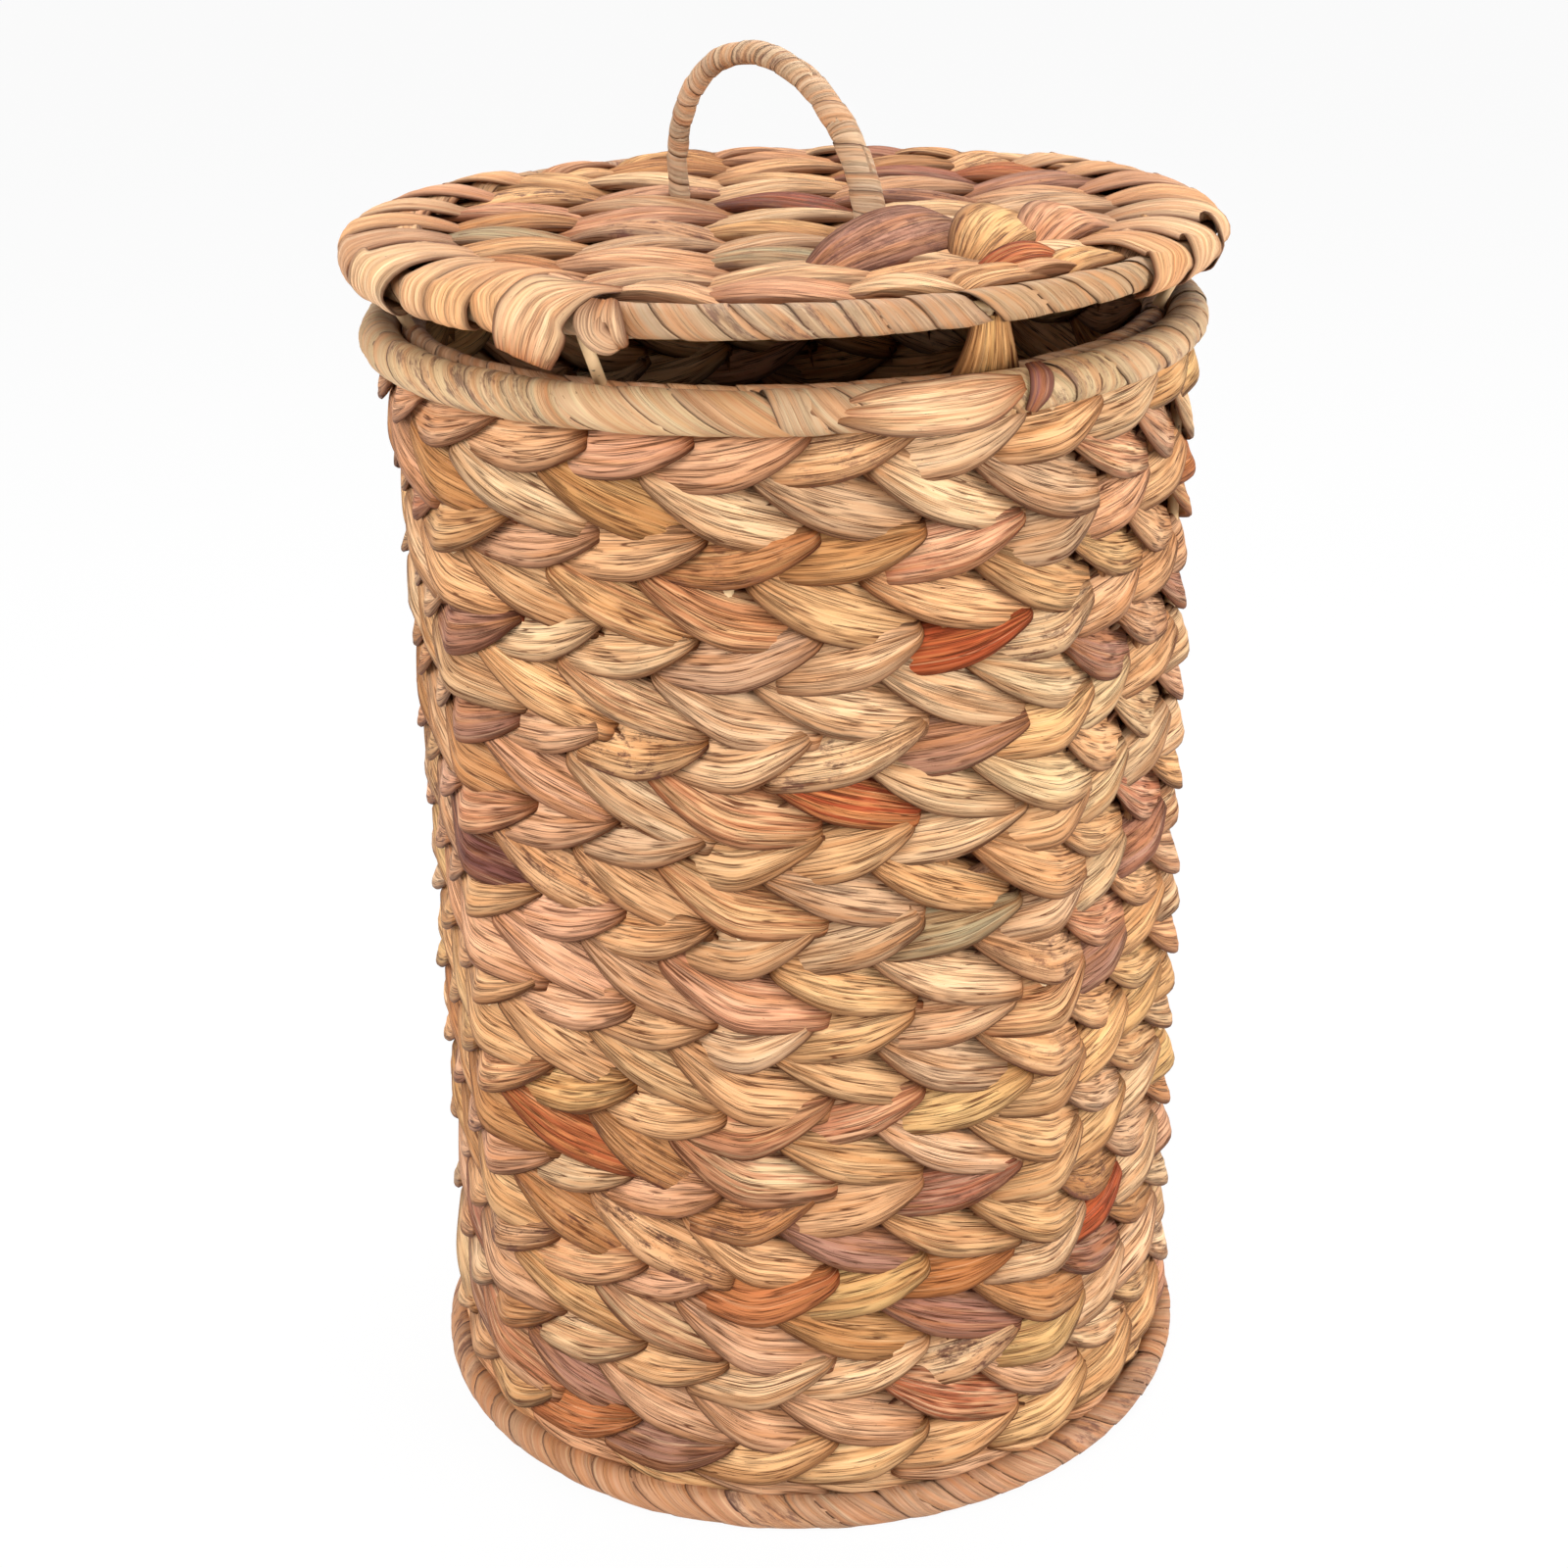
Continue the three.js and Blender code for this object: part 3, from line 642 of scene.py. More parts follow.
def makeStakes():
    number = 0
    for index, angle in enumerate(stakeAngles):
        if index % wall["cornerEvery"] == 0:  # a frame wire stands here
            continue
        number += 1
        rng = draws("stake", index)
        z = np.linspace(wall["lowZ"] + stake["short"], wall["highZ"] - stake["short"], stake["steps"])
        line = aroundAxis(wallRadius(np.full(len(z), angle), z), math.radians(angle), z)
        thick = stake["radius"] + stake["ripple"] * np.sin(z * stake["rippleRate"] + rng.uniform(0, 6))
        points, faces = sweep(line, thick, stake["sides"], twist=stake["twist"])
        tint = linearColour(*stake["colour"]) * rng.uniform(*stake["shade"])
        part = tubePart(points, faces, tint, seed=float(index), marks=stake["marks"])
        makePiece(f"fibreStake{number:02d}", [part], stakeFibre, "basket", f"stake_{number:02d}")


makeStakes()
print("stakes made")

wire = {
    "radius": 1.7, "sides": 12, "hoopRadius": 119.0, "rimZ": 349.0, "footZ": 4.75, "floorZ": 7.25,
    "lidRadius": 121.5, "lidZ": 373.0, "locatingRadius": 109.0, "locatingZ": 350.5, "crossPitch": 38.97,
    "crossPairs": 2, "posts": 7,
}


def circle(radius, z, count=180):
    turn = np.linspace(0, 2 * np.pi, count, endpoint=False)
    return aroundAxis(radius, turn, np.full(count, z))


def onRing(radius, angle, z):
    return aroundAxis(radius, math.radians(angle), z)


def wirePart(points, closed=False):
    return tubePart(*sweep(points, wire["radius"], wire["sides"], closed))


def crossWireParts(ringRadius, z):
    parts = []
    for i in range(-wire["crossPairs"], wire["crossPairs"] + 1):
        x = i * wire["crossPitch"]
        half = math.sqrt(ringRadius**2 - (abs(x) + wire["radius"]) ** 2)
        parts.append(wirePart([[x, -half, z], [x, half, z]]))
    return parts


def makeBasketWires():
    parts = [wirePart(circle(wire["hoopRadius"], wire[height]), True) for height in ("rimZ", "footZ")]
    for angle in stakeAngles[:: wall["cornerEvery"]]:
        ends = [onRing(wall["cornerRadius"], angle, wire[height]) for height in ("footZ", "rimZ")]
        parts.append(wirePart(ends))
    parts += crossWireParts(wire["hoopRadius"], wire["floorZ"])
    makePiece("basketWires", parts, creamWire, "basket", "body_frame")


makeBasketWires()

handle = {
    "centre": (-2.5, 4.9), "turn": -42.4, "span": 76.0, "rise": 43.0, "legTop": 7.0, "lean": 6.0,
}


def handleLine(count=60):
    # up from one foot, over the arch and down to the other foot
    places = [(-handle["span"] / 2, wire["lidZ"])]
    for a in np.linspace(np.pi, 0, count):
        along = handle["span"] / 2 * math.cos(a) - handle["lean"] * math.sin(a)
        places.append((along, wire["lidZ"] + handle["legTop"] + handle["rise"] * math.sin(a)))
    places.append((handle["span"] / 2, wire["lidZ"]))
    turn = math.radians(handle["turn"])
    x, y = handle["centre"]
    return np.array([[x + along * math.cos(turn), y + along * math.sin(turn), z] for along, z in places])


def makeLidWires():
    lidZ, locatingZ = wire["lidZ"], wire["locatingZ"]
    parts = [wirePart(circle(wire["lidRadius"], lidZ), True)]
    parts.append(wirePart(circle(wire["locatingRadius"], locatingZ), True))
    parts += crossWireParts(wire["lidRadius"], lidZ)
    for i in range(wire["posts"]):
        angle = (i + 0.5) * 360 / wire["posts"]
        ends = [onRing(wire["lidRadius"], angle, lidZ), onRing(wire["locatingRadius"], angle, locatingZ)]
        parts.append(wirePart(ends))
    line = handleLine()
    parts.append(wirePart(line))
    for foot, x in ((line[0], -wire["crossPitch"]), (line[-1], wire["crossPitch"])):
        parts.append(wirePart([foot, [x, foot[1], foot[2]]]))  # to the nearest cross wire
    makePiece("lidWires", parts, creamWire, "lid", "lid_frame")


makeLidWires()
print("wires made")


# A path gives, for each length t along it, its centre, the way out and the way up
def ringPath(radius, z):
    def place(t):
        turn = t / radius
        outward = aroundAxis(1, turn, np.zeros_like(turn))
        up = np.broadcast_to(np.array([0, 0, 1.0]), outward.shape)
        return outward * radius + np.array([0, 0, z]), outward, up

    return place


def archPath():
    points = handleLine(121)
    lengths = np.concatenate([[0], np.cumsum(np.linalg.norm(np.diff(points, axis=0), axis=1))])
    turn = math.radians(handle["turn"])
    beside = np.array([math.sin(turn), -math.cos(turn), 0])
    along = unit(np.gradient(points, axis=0))
    outward = unit(np.cross(along, np.broadcast_to(beside, along.shape)))
    outward *= np.sign(outward[len(outward) // 2][2])

    def between(values, t):
        return np.stack([np.interp(t, lengths, values[:, k]) for k in range(3)], -1)

    def place(t):
        out = unit(between(outward, t))
        return between(points, t), out, np.broadcast_to(beside, out.shape)

    return place, lengths[-1]


stripSection = bladeSection(7, 3)
stripLook = {
    "pitch": 14.0, "uneven": 0.45,
    "cover": 1.4,  # width as a share of the pitch
    "steps": 28, "lean": 3.5, "leanShares": (0.2, 1.8),
    "wobble": ((0.5, 2.1), (0.35, 5.3), (0.2, 11.7)),  # mm and rate of the waves of the edges
    "edgeWobble": 0.6, "thickness": 0.5, "puff": 0.45, "crumple": 0.09, "turnsPerStrip": 4,
    "colour": (178, 156, 130),
    "mixed": 0.3,  # share of the picked tints in the colour
    "shade": (0.9, 1.08), "stained": 0.22, "stain": 0.7,
}


def windStrip(place, start, end, radiusAt, look, rng, firstAngle=0.0):
    # A strip goes round and round. Each turn's near edge lies on the turn before it.
    pitches = []
    while sum(pitches) < end - start:
        pitches.append(look["pitch"] * rng.uniform(1 - look["uneven"], 1 + look["uneven"]))
    turns = len(pitches)
    edges = start + np.concatenate([[0], np.cumsum(pitches)]) * (end - start) / sum(pitches)
    tau = np.linspace(0, turns, turns * look["steps"] + 1)
    side, face = stripSection
    middle = np.interp(tau, np.arange(turns + 1), edges)
    pitch = np.interp(tau, np.arange(turns) + 0.5, pitches)
    angle = np.radians(firstAngle) - 2 * np.pi * tau
    slants = rng.uniform(*look["leanShares"], turns + 1)
    lean = look["lean"] * np.interp(tau, np.arange(turns + 1), slants) * np.sin(angle)
    wobble = sum(amount * np.sin(tau * rate + rng.uniform(0, 6)) for amount, rate in look["wobble"])
    width = pitch * look["cover"] / 2
    t = middle[:, None] - lean[:, None] + side[None] * width[:, None]
    t = t + wobble[:, None] * side[None] * look["edgeWobble"]
    centre, outward, up = place(t)
    lift = look["thickness"] * (1.6 - 1.2 * side)[None] * 0.5
    lift = lift + look["puff"] * (1 - side**2)[None] * (0.7 + 0.3 * np.sin(tau * 3.3))[:, None]
    lift = lift + rng.normal(0, look["crumple"], (len(tau), 1)) * np.cos(side * 3)[None]
    lift = np.where(face[None] > 0, lift, lift - look["thickness"] * 0.6)
    radius = radiusAt(t) - look["thickness"] * 1.5 + lift
    around = outward * np.cos(angle)[:, None, None] + up * np.sin(angle)[:, None, None]
    points = centre + around * radius[..., None]
    strip = (tau // look["turnsPerStrip"]).astype(int)
    tints = pickTints(rng, strip.max() + 1, 0.2)
    plain = linearColour(*look["colour"])
    tints = tints * look["mixed"] + plain * (1 - look["mixed"])
    turnShade = rng.uniform(*look["shade"], turns + 1)[np.minimum(tau.astype(int), turns)]
    along = (tau * 2 * np.pi * look["radius"])[:, None]
    seed = (strip * 1.7)[:, None]  # another noise on each strip
    tint = (tints[strip] * turnShade[:, None])[:, None, :]
    marks = np.zeros((strip.max() + 1, 3))
    marks[:, 0] = np.where(rng.random(len(marks)) < look["stained"], look["stain"], 0.0)
    marks[:, 1] = rng.uniform(0, 0.25, len(marks))
    faces = sheetFaces(1, len(tau), len(side))[:, ::-1]
    return leafPart(points, faces, along, side, seed, tint, marks[strip][:, None, :])


# Span is where the winding starts and ends on its ring. The lid ring's wire shows between them.
ringWraps = [
    {
        "piece": ("rimWrap", "basket", "rim_wrap"), "ring": (wire["hoopRadius"], wire["rimZ"]),
        "radius": 6.0, "pitch": 15.0, "puff": 0.6, "colour": (158, 146, 112),
    },
    {
        "piece": ("footWrap", "basket", "foot_wrap"), "ring": (wire["hoopRadius"], 5.35), "radius": 5.25,
        "pitch": 13.0, "colour": (146, 104, 82),
    },
    {
        "piece": ("lidRingWrap", "lid", "lid_ring_wrap"), "ring": (wire["lidRadius"], wire["lidZ"]),
        "span": (26.6, 383.0), "radius": 4.6, "pitch": 12.0, "uneven": 0.35, "lean": 2.2,
        "colour": (112, 96, 78),
    },
    {
        "piece": ("locatingRingWrap", "lid", "locating_ring_wrap"),
        "ring": (wire["locatingRadius"], wire["locatingZ"]), "radius": 3.3, "pitch": 12.0,
        "colour": (182, 144, 110),
    },
]


def wrapRings():
    for number, wrap in enumerate(ringWraps):
        look = {**stripLook, "span": (0, 360), **wrap}
        name, body, node = look["piece"]
        start, end = (math.radians(angle) * look["ring"][0] for angle in look["span"])
        path = ringPath(*look["ring"])
        part = windStrip(path, start, end, lambda t: look["radius"], look, draws("wrap", number), 180)
        makePiece(name, [part], wrapLeaf, body, node)


wrapRings()

handleWrap = {
    **stripLook,
    "fromFoot": 2.0, "pitch": 7.0, "radius": 3.6,
    "radii": ((0, 0.25, 0.5, 0.72, 0.9, 1), (3.1, 3.2, 3.5, 4.1, 4.7, 4.9)),  # at shares of the length
    "lean": 0.8, "thickness": 0.55, "mixed": 0.25,
}


def wrapHandle():
    place, length = archPath()
    start = handleWrap["fromFoot"]

    def radiusAt(t):
        return np.interp(t / length, *handleWrap["radii"])

    part = windStrip(place, start, length - start, radiusAt, handleWrap, draws("handleWrap"))
    makePiece("handleWrap", [part], wrapLeaf, "lid", "handle_wrap")


wrapHandle()
print("strips wound")

# Rows of the lid and the floor. They end at the radius, and arch brings a strand's ends down.
rows = {
    "count": 11, "radius": 117.5, "floorRadius": 111.5, "pitch": 21.25, "length": 64.0, "width": 29.5,
    "rise": 6.5, "bend": 1.5, "reach": 3.8, "arch": 4.6, "crown": 3.4, "plunge": 1.2, "dive": 1.5,
    "lowerTip": 0.42, "upperTip": 0.16, "tilt": 2.0, "steps": 27,
}
underRows = {**rows, "reach": 3.0, "arch": 1.5, "crown": 2.4, "plunge": 0.5, "dive": 0.0}
floorRows = {**rows, "radius": rows["floorRadius"], "crown": 2.8, "reach": 3.2}
rowSpread = {
    "length": 4, "shift": 2, "width": 2.2, "rise": 1.5, "bend": 1.2, "height": 1.0, "reach": 0.5,
    "arch": 1.0, "tilt": 3, "crownShare": 0.1,
}


def rowStitches(rng, row, over, size, oddOnes=()):
    slant = 1 if row % 2 else -1
    radius = size["radius"]
    y = (row - (size["count"] - 1) / 2) * size["pitch"]
    reach = math.sqrt(max(radius**2 - (abs(y) - 3) ** 2, 1))
    places = np.arange(-3, 4) * wire["crossPitch"]
    places = places[np.abs(places) < reach - 6]
    count = len(places)
    section = outerSection if over else underSection
    s = np.repeat(np.linspace(0, 1, size["steps"])[None], count, 0)
    t = 2 * s - 1
    vary = varier(rng, count, size, rowSpread)
    length = vary("length")
    middle = places[:, None] + vary("shift")
    low = np.maximum(middle - length / 2, -reach)
    high = np.minimum(middle + length / 2, reach)
    turned = slant if over else -slant
    x = np.where(turned > 0, low + (high - low) * s, high - (high - low) * s)
    width = taper(t, size, rng)
    half = vary("width") / 2 * width
    line = stitchLine(y, t, vary)
    depth = vary("reach") - vary("arch") * t**2 - stitchDepth(t, size)
    points = stitchBlades(np.stack([x, line, depth], -1), half, width, turned, size, vary, section, rng)
    far = np.hypot(points[..., 0], points[..., 1])
    points[..., :2] *= np.minimum(1, radius / far)[..., None]
    tints, marks = pickTints(rng, count), pickMarks(rng, count)
    for oddRow, cross, colour, stain, blush in oddOnes:
        if oddRow == row and abs(cross) <= (count - 1) // 2:
            tints[cross + (count - 1) // 2] = leafColours[colour]
            marks[cross + (count - 1) // 2] = (stain, blush, 0)
    return stitchLooks(points, half, turned, over, section, tints, marks, rng)


# Strands of the lid that stand out: row from the front, cross wire from the middle, colour,
# dark blotches, red streaks
oddRowStrands = [
    (6, 0, "purple", 0.6, 0.7), (6, 1, "mauve", 0.8, 0.1), (5, 1, "straw", 0.0, 0.0),
    (7, 0, "straw", 0.0, 0.1), (8, 0, "tan", 0.0, 0.1), (8, -1, "straw", 0.0, 0.0),
    (2, 1, "straw", 0.0, 0.1), (3, 0, "greyTan", 0.0, 0.0), (3, -1, "greyTan", 0.4, 0.0),
    (2, 0, "greyGreen", 0.3, 0.1), (1, 0, "straw", 0.0, 0.3), (1, -1, "straw", 0.0, 0.5),
    (0, 0, "pinkTan", 0.0, 0.3), (4, -2, "greyGreen", 0.0, 0.1), (2, -2, "brown", 0.3, 0.3),
    (5, 2, "greyTan", 0.0, 0.0), (7, 2, "mauve", 0.2, 0.1), (8, 2, "rust", 0.3, 0.7),
    (10, 1, "mauve", 0.3, 0.3), (9, -1, "brown", 0.1, 0.2), (5, 0, "straw", 0.0, 0.0),
    (4, 0, "ochre", 0.0, 0.2),
]


def weaveLid():
    for row in range(rows["count"]):
        rng = draws("lidRow", row)
        parts = [rowStitches(rng, row, True, rows, oddRowStrands), rowStitches(rng, row, False, underRows)]
        for part in parts:
            part["points"] = part["points"] + np.array([0, 0, wire["lidZ"]])
        makePiece(f"lidCourse{row + 1:02d}", parts, strandLeaf, "lid", f"lid_course_{row + 1:02d}")


def weaveFloor():
    parts = []
    for row in range(rows["count"]):
        rng = draws("floorRow", row)
        parts.append(rowStitches(rng, row, True, floorRows))
        parts.append(rowStitches(rng, row, False, {**underRows, "radius": rows["floorRadius"]}))
    for part in parts:
        part["points"] = part["points"] + np.array([0, 0, wire["floorZ"]])
    makePiece("floorMat", parts, strandLeaf, "basket", "base_mat")


weaveLid()
weaveFloor()
print("lid and floor woven")


def smoothLine(points, count):
    # a smooth curve through all the points
    points = np.asarray(points, float)
    padded = np.concatenate([[2 * points[0] - points[1]], points, [2 * points[-1] - points[-2]]])
    u = np.linspace(0, len(points) - 1, count)
    first = np.minimum(u.astype(int), len(points) - 2)
    f = (u - first)[:, None]
    a, b, c, d = (padded[first + k] for k in range(4))
    curve = 2 * b + (c - a) * f + (2 * a - 5 * b + 4 * c - d) * f**2 + (3 * b - a - 3 * c + d) * f**3
    return 0.5 * curve


laidSection = bladeSection(15, 5)


def laidLeaf(line, outs, widths, crown, colour, rng, steps, marks=(0.05, 0.15, 0), ridge=0.3):
    centre = smoothLine(line, steps)[None]
    out = unit(smoothLine(outs, steps))[None]
    across = unit(np.cross(out, unit(np.gradient(centre, axis=1))))
    half = smoothLine(np.array(widths)[:, None], steps)[:, 0][None] / 2
    thick = np.minimum(half / max(widths) * 2, 1) ** 0.6 * crown
    points = leafBlades(centre, across, out, half, thick, laidSection, rng, ridge)
    tint = leafColours[colour][None] * rng.uniform(0.94, 1.06)
    looks = leafLooks(points, half, laidSection, tint, np.array([marks]), rng)
    looks["faces"] = looks["faces"][:, ::-1]
    return looks


# A pleated leaf hangs over the first drop post, from the lid's ring in to the locating ring
tie = {
    "angle": 180 / wire["posts"], "topZ": 370.5, "length": 17.5, "topRadius": 122.4, "inward": 10.6,
    "bulge": 0.8, "thickness": 0.5, "topWidth": 11.0, "lowWidth": 21.0, "pleats": 6, "pleatColumns": 8,
    "depth": 0.9, "lean": 4.5, "steps": 20, "colour": (214, 164, 104), "marks": (0.1, 0.2, 0),
    "seed": 5.0,
}


def makeLeafTie():
    columns = tie["pleats"] * tie["pleatColumns"] + 1
    across = np.linspace(-1, 1, columns)
    down = np.linspace(0, 1, tie["steps"])
    side = np.concatenate([across, across[::-1]])
    face = np.concatenate([np.ones(columns), np.zeros(columns)])
    width = tie["topWidth"] + (tie["lowWidth"] - tie["topWidth"]) * down**1.3
    fold = np.abs(np.sin(side * np.pi * tie["pleats"] / 2)) * tie["depth"]
    z = tie["topZ"] - down * tie["length"]
    radius = tie["topRadius"] - tie["inward"] * down + tie["bulge"] * np.sin(down * np.pi)
    depth = radius[:, None] + fold[None] * (0.5 + 0.5 * down[:, None]) + (face[None] - 1) * tie["thickness"]
    sideways = side[None] * width[:, None] / 2 + tie["lean"] * down[:, None]
    turn = math.radians(tie["angle"])
    x = depth * math.sin(turn) + sideways * math.cos(turn)
    y = -depth * math.cos(turn) + sideways * math.sin(turn)
    points = np.stack([x, y, np.broadcast_to(z[:, None], x.shape)], -1)
    faces = sheetFaces(1, tie["steps"], len(side))[:, ::-1]
    along = (down * tie["length"])[:, None]
    part = leafPart(points, faces, along, side, tie["seed"], linearColour(*tie["colour"]), tie["marks"])
    makePiece("leafTie", [part], strandLeaf, "lid", "leaf_tie")


makeLeafTie()

rings = {"lid": (wire["lidRadius"], wire["lidZ"]), "rim": (wire["hoopRadius"], wire["rimZ"])}


def aroundRing(points, angle, ring="lid"):
    # from mm outward from a ring's wire, mm along the ring and mm up
    ringRadius, z = rings[ring]
    turn = math.radians(angle) + points[..., 1] / ringRadius
    return aroundAxis(ringRadius + points[..., 0], turn, z + points[..., 2])


# Where strands of the rows turn over the lid's ring: the ring's angle, width, lean along the
# ring, reach from the wire, how far down they go (degrees below level) and colour
ringFolds = [
    (-37, 12, 3, 5.4, 95, "tan"), (-43, 17, -5, 5.8, 120, "tan"), (-50, 13, -3, 5.6, 130, "straw"),
    (-61, 27, -7, 6.4, 135, "straw"), (-74, 25, -5, 6.3, 130, "greyTan"), (-87, 25, -3, 6.2, 130, "tan"),
    (-100, 22, 2, 5.8, 130, "straw"), (-113, 20, 4, 5.6, 130, "pinkTan"), (-126, 19, 5, 5.4, 130, "tan"),
    (56, 19, -6, 5.3, 110, "tan"), (67, 23, -7, 5.5, 125, "straw"), (80, 30, -8, 5.9, 135, "straw"),
    (93, 29, 3, 5.6, 130, "tan"), (106, 26, 4, 5.5, 130, "pinkTan"), (118, 24, 5, 5.4, 130, "tan"),
    (130, 22, 6, 5.2, 130, "straw"),
]
# A fold starts on the rows: mm outward from the wire, share of the shift to its row, and mm up.
# Then it goes round the wire.
foldShape = {
    "start": ((-34, 1, 1.5), (-20, 0.35, 5.6), (-8, 0, 7.0)), "shift": 12, "from": 58, "leanOver": 188,
    "roundSteps": 5, "widths": (0.4, 0.8, 0.96, 1.02, 1, 0.95, 0.9, 0.75), "crown": 1.35, "ridge": 0.25,
    "steps": 40,
}


def makeRingFolds():
    shape = foldShape
    for number, (angle, width, lean, reach, down, colour) in enumerate(ringFolds, 1):
        turn = math.radians(angle)
        beside = -shape["shift"] * math.copysign(1, math.sin(turn)) * math.cos(turn)
        line = [(outward, beside * share, up) for outward, share, up in shape["start"]]
        outs = [(0, 0, 1), (0, 0, 1), (0.1, 0, 1)]
        for tilt in np.linspace(shape["from"], -down, shape["roundSteps"]):
            a = math.radians(tilt)
            along = lean * (shape["from"] - tilt) / shape["leanOver"]
            line.append((reach * math.cos(a), along, reach * math.sin(a)))
            outs.append((math.cos(a), 0, math.sin(a)))
        widths = [width * share for share in shape["widths"]]
        rng = draws("ringFold", number)
        part = laidLeaf(line, outs, widths, shape["crown"], colour, rng, shape["steps"], ridge=shape["ridge"])
        part["points"] = aroundRing(part["points"], angle)
        makePiece(f"ringFold{number:02d}", [part], foldedLeaf, "lid")


makeRingFolds()

# Single leaves beside a ring. Each line is mm outward from the wire, mm along the ring and mm up.
ringLeaves = [
    {
        "name": "pleatedFlap", "ring": "lid", "angle": -30,
        "line": [
            (-9, 21, 5.5), (-2, 12, 6.6), (4.6, 4, 4.6), (6.4, 0, -0.5), (6.4, -2.5, -6), (5.6, -4, -10.5)
        ],
        "outs": [(0, 0, 1), (0.1, 0, 1), (0.75, 0, 0.65), (1, 0, 0), (1, 0, -0.1), (1, 0, -0.2)],
        "widths": [5, 13, 19, 21, 20, 17], "crown": 1.3, "ridge": 0.9, "colour": "straw",
        "marks": (0.1, 0.3, 0),
    },
    {
        "name": "curledEnd", "ring": "lid", "angle": -21,
        "line": [(3, -2, 5.0), (6.5, -2.5, 2.0), (7, -1, -2.2), (5.8, 2.5, -4.6), (3, 5, -3.4)],
        "outs": [(0.5, 0, 0.8), (1, 0, 0), (1, -0.3, -0.3), (0.7, 0.2, -0.7), (0.2, 0.7, -0.7)],
        "widths": [4, 9, 10.5, 9, 4], "crown": 2.2, "ridge": 0.4, "colour": "greyTan",
        "marks": (0.05, 0.1, 0),
    },
    {
        "name": "curledKnot", "ring": "lid", "angle": -21,
        "line": [(4, 2, 5.2), (6.8, 2.4, 2), (7, 3.4, -2.4), (4.6, 4.6, -5)],
        "outs": [(0.6, 0, 0.8), (1, 0, 0.1), (1, 0, -0.3), (0.7, 0, -0.7)], "widths": [4.5, 7.5, 7.5, 4.5],
        "crown": 2.2, "ridge": 0.5, "colour": "greyTan", "marks": (0.3, 0.1, 0),
    },
    {
        "name": "rimPatch", "ring": "rim", "angle": 18,
        "line": [(4.2, -27, 0.5), (5.0, -13, 0.2), (5.3, 0, 0), (5.2, 13, 0.6), (4.4, 25, 2.8)],
        "outs": [(0.95, 0, 0.3)] * 5, "widths": [4, 12.5, 14.5, 14, 5], "crown": 2.0, "ridge": 0.4,
        "colour": "straw", "marks": (0.05, 0.35, 0),
    },
    {
        "name": "rimDarkTurn", "ring": "rim", "angle": 32,
        "line": [(0, 2.5, 6.3), (4.6, 1.5, 4.6), (6.5, 0, 0.4), (5.2, -2, -4.4)],
        "outs": [(0, 0, 1), (0.7, 0, 0.7), (1, 0, 0), (0.75, 0, -0.65)], "widths": [5, 7, 7, 5],
        "crown": 0.7, "ridge": 0.5, "colour": "purple", "marks": (0.3, 0.2, 0),
    },
]


def makeRingLeaves():
    for number, leaf in enumerate(ringLeaves):
        shape = [leaf[name] for name in ("line", "outs", "widths", "crown", "colour")]
        part = laidLeaf(*shape, draws("ringLeaf", number), 36, leaf["marks"], leaf["ridge"])
        part["points"] = aroundRing(part["points"], leaf["angle"], leaf["ring"])
        body = "basket" if leaf["ring"] == "rim" else "lid"
        makePiece(leaf["name"], [part], foldedLeaf, body)


makeRingLeaves()

# Leaf ends along the inside of the lid's ring. Lines are mm outward, share of half the length and
# mm up.
borderLeaves = {
    "from": 31, "to": 336, "every": 15.5, "length": 46, "width": 15, "inside": -9.0,
    "line": ((3, -1, -1), (0, -1 / 2, 4.6), (-1, 1 / 3, 4.6), (-5, 1, -1)), "widths": (0.35, 1, 0.95, 0.3),
    "crown": 1.8, "steps": 24, "colours": ("straw", "tan", "pinkTan", "ochre", "greyTan"),
}


def makeBorderLeaves():
    parts = []
    look = borderLeaves
    rng = draws("borderPlace")
    for number, angle in enumerate(np.arange(look["from"], look["to"], look["every"])):
        half = look["length"] / 2 * rng.uniform(0.9, 1.1)
        line = [(look["inside"] + outward, half * share, up) for outward, share, up in look["line"]]
        widths = [look["width"] * share for share in look["widths"]]
        colour = look["colours"][rng.choice(len(look["colours"]))]
        outs = [(0.1, 0, 1)] * len(line)
        part = laidLeaf(line, outs, widths, look["crown"], colour, draws("borderLeaf", number), look["steps"])
        part["points"] = aroundRing(part["points"], angle)
        parts.append(part)
    makePiece("borderLeaves", parts, strandLeaf, "lid")


makeBorderLeaves()

# Broad leaves that lie over the lid's rows, near the handle. Lines are mm, up from the lid's wires.
lidLeaves = [
    {
        "name": "mauveLeaf",
        "line": [(4, -90, 1), (18, -76, 6.5), (34, -60, 9.5), (46, -46, 8.5), (54, -36, 3)],
        "widths": [5, 20, 27, 24, 8], "colour": "mauve", "marks": (0.55, 0.1, 0),
    },
    {
        "name": "greyTanLeaf",
        "line": [(48, -78, 1), (55, -64, 7.5), (62, -50, 9.5), (69, -38, 7), (73, -30, 2)],
        "widths": [8, 21, 27, 24, 10], "colour": "ochre", "marks": (0.2, 0.1, 0),
    },
    {
        "name": "pinkLeaf",
        "line": [(64, -72, 1), (72, -56, 7.5), (79, -42, 9), (86, -30, 6), (92, -22, 1)],
        "widths": [7, 18, 24, 22, 8], "colour": "pinkTan", "marks": (0.05, 0.3, 0),
    },
    {
        "name": "rustLeaf", "line": [(48, -92, 1), (58, -86, 6), (68, -80, 6.5), (78, -74, 2)],
        "widths": [4, 10, 11, 4], "colour": "rust", "marks": (0.1, 0.9, 0),
    },
]


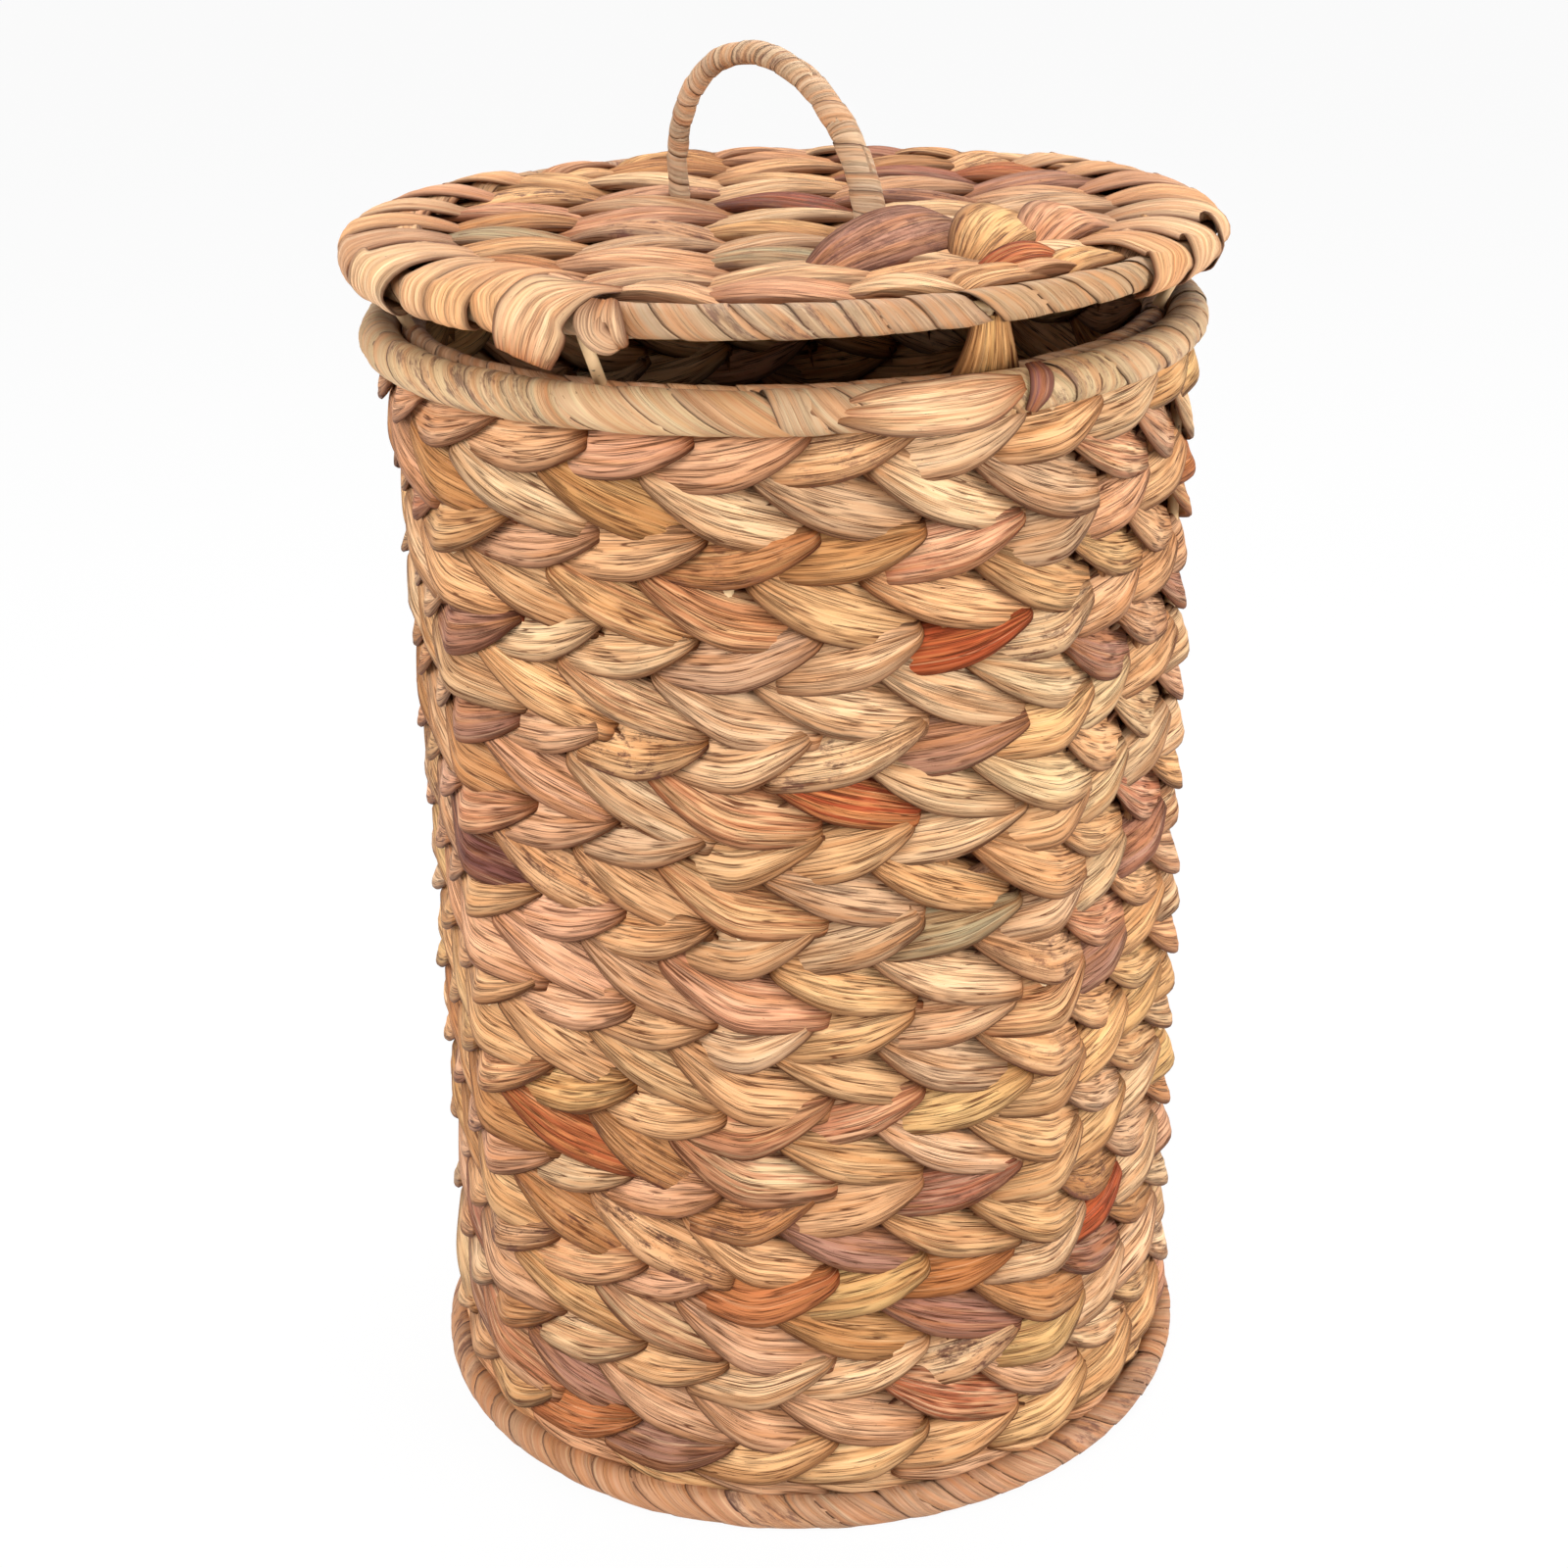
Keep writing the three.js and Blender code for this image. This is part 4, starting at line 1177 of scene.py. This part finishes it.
def makeLidLeaves():
    for number, leaf in enumerate(lidLeaves):
        line = [(x, y, wire["lidZ"] + z) for x, y, z in leaf["line"]]
        outs = [(0.1, -0.35, 1)] * len(line)
        rng = draws("lidLeaf", number)
        part = laidLeaf(line, outs, leaf["widths"], 2.6, leaf["colour"], rng, 34, leaf["marks"])
        makePiece(leaf["name"], [part], strandLeaf, "lid")


makeLidLeaves()
print("single leaves laid")

# The camera's place is in mm, its turns are in radians
cameraSetup = {
    "place": (1.93, -768.64, 516.37), "yaw": -0.00754, "pitch": 0.39382, "roll": -0.02895, "lens": 59.74,
    "sensor": 36, "clip": (0.01, 50),
}


def makeCamera():
    yaw, pitch, roll = (cameraSetup[name] for name in ("yaw", "pitch", "roll"))
    ahead = Vector((math.sin(yaw) * math.cos(pitch), math.cos(yaw) * math.cos(pitch), -math.sin(pitch)))
    level = Vector((math.cos(yaw), -math.sin(yaw), 0))
    above = level.cross(ahead)
    right = level * math.cos(roll) + above * math.sin(roll)
    up = above * math.cos(roll) - level * math.sin(roll)
    data = bpy.data.cameras.new("studioCamera")
    data.lens = cameraSetup["lens"]
    data.sensor_width = cameraSetup["sensor"]
    data.clip_start, data.clip_end = cameraSetup["clip"]
    camera = bpy.data.objects.new("studioCamera", data)
    turn = Matrix((right, up, -ahead)).transposed().to_4x4()
    camera.matrix_world = Matrix.Translation(Vector(cameraSetup["place"]) * metre) @ turn
    bpy.context.collection.objects.link(camera)
    bpy.context.scene.camera = camera


makeCamera()

# Places and sizes in the studio are in metres, and powers in watts
studio = {"aim": (0, 0, 0.2), "ambient": 0.12, "floorSize": 12, "floorZ": -0.0003, "floorWhite": 0.95}
lights = [
    {"name": "frontSoftbox", "place": (-0.35, -1.2, 1.2), "size": 0.8, "power": 15.5},
    {"name": "leftFill", "place": (-1.3, -0.6, 0.5), "size": 0.8, "power": 13},
    {"name": "rightFill", "place": (1.3, -0.7, 0.5), "size": 0.8, "power": 22},
    {"name": "topFill", "place": (0.1, 0.5, 1.6), "size": 1.2, "power": 26},
]


def makeLights():
    for light in lights:
        data = bpy.data.lights.new(light["name"], "AREA")
        data.size = light["size"]
        data.energy = light["power"]
        lamp = bpy.data.objects.new(light["name"], data)
        lamp.location = light["place"]
        aim = Vector(studio["aim"]) - lamp.location
        lamp.rotation_euler = aim.to_track_quat("-Z", "Y").to_euler()
        bpy.context.collection.objects.link(lamp)


def cameraWhite(tree, plain, whiteKind, share):
    # seen by the camera, in gloss or through glass, the surface is partly plain white
    path = addNode(tree, "LightPath").outputs
    seen = maths(tree, "ADD", path["Is Camera Ray"], path["Is Glossy Ray"], clamp=True)
    seen = maths(tree, "ADD", seen, path["Is Transmission Ray"], clamp=True)
    amount = maths(tree, "MULTIPLY", seen, share)
    white = addNode(tree, whiteKind, {"Color": (1, 1, 1, 1), "Strength": 1.0}).outputs[0]
    return addNode(tree, "MixShader", {0: amount, 1: plain, 2: white}).outputs[0]


def makeWorld():
    world = bpy.data.worlds.new("studioWorld")
    bpy.context.scene.world = world
    world.use_nodes = True
    tree = world.node_tree
    soft = tree.nodes["Background"]
    soft.inputs["Color"].default_value = (1, 1, 1, 1)
    soft.inputs["Strength"].default_value = studio["ambient"]
    shader = cameraWhite(tree, soft.outputs[0], "Background", 1.0)
    tree.links.new(shader, tree.nodes["World Output"].inputs["Surface"])


def makeFloor():
    bpy.ops.mesh.primitive_plane_add(size=studio["floorSize"], location=(0, 0, studio["floorZ"]))
    floor = bpy.context.object
    floor.name = "studioFloor"
    material, tree, shader = newMaterial("paleFloor")
    shader.inputs["Base Color"].default_value = (0.86, 0.86, 0.86, 1)
    shader.inputs["Roughness"].default_value = 0.9
    shader.inputs["Specular IOR Level"].default_value = 0.1
    mixed = cameraWhite(tree, shader.outputs[0], "Emission", studio["floorWhite"])
    tree.links.new(mixed, tree.nodes["Material Output"].inputs["Surface"])
    floor.data.materials.append(material)


makeLights()
makeWorld()
makeFloor()
bpy.context.scene.view_settings.view_transform = "Standard"
print("studio set")
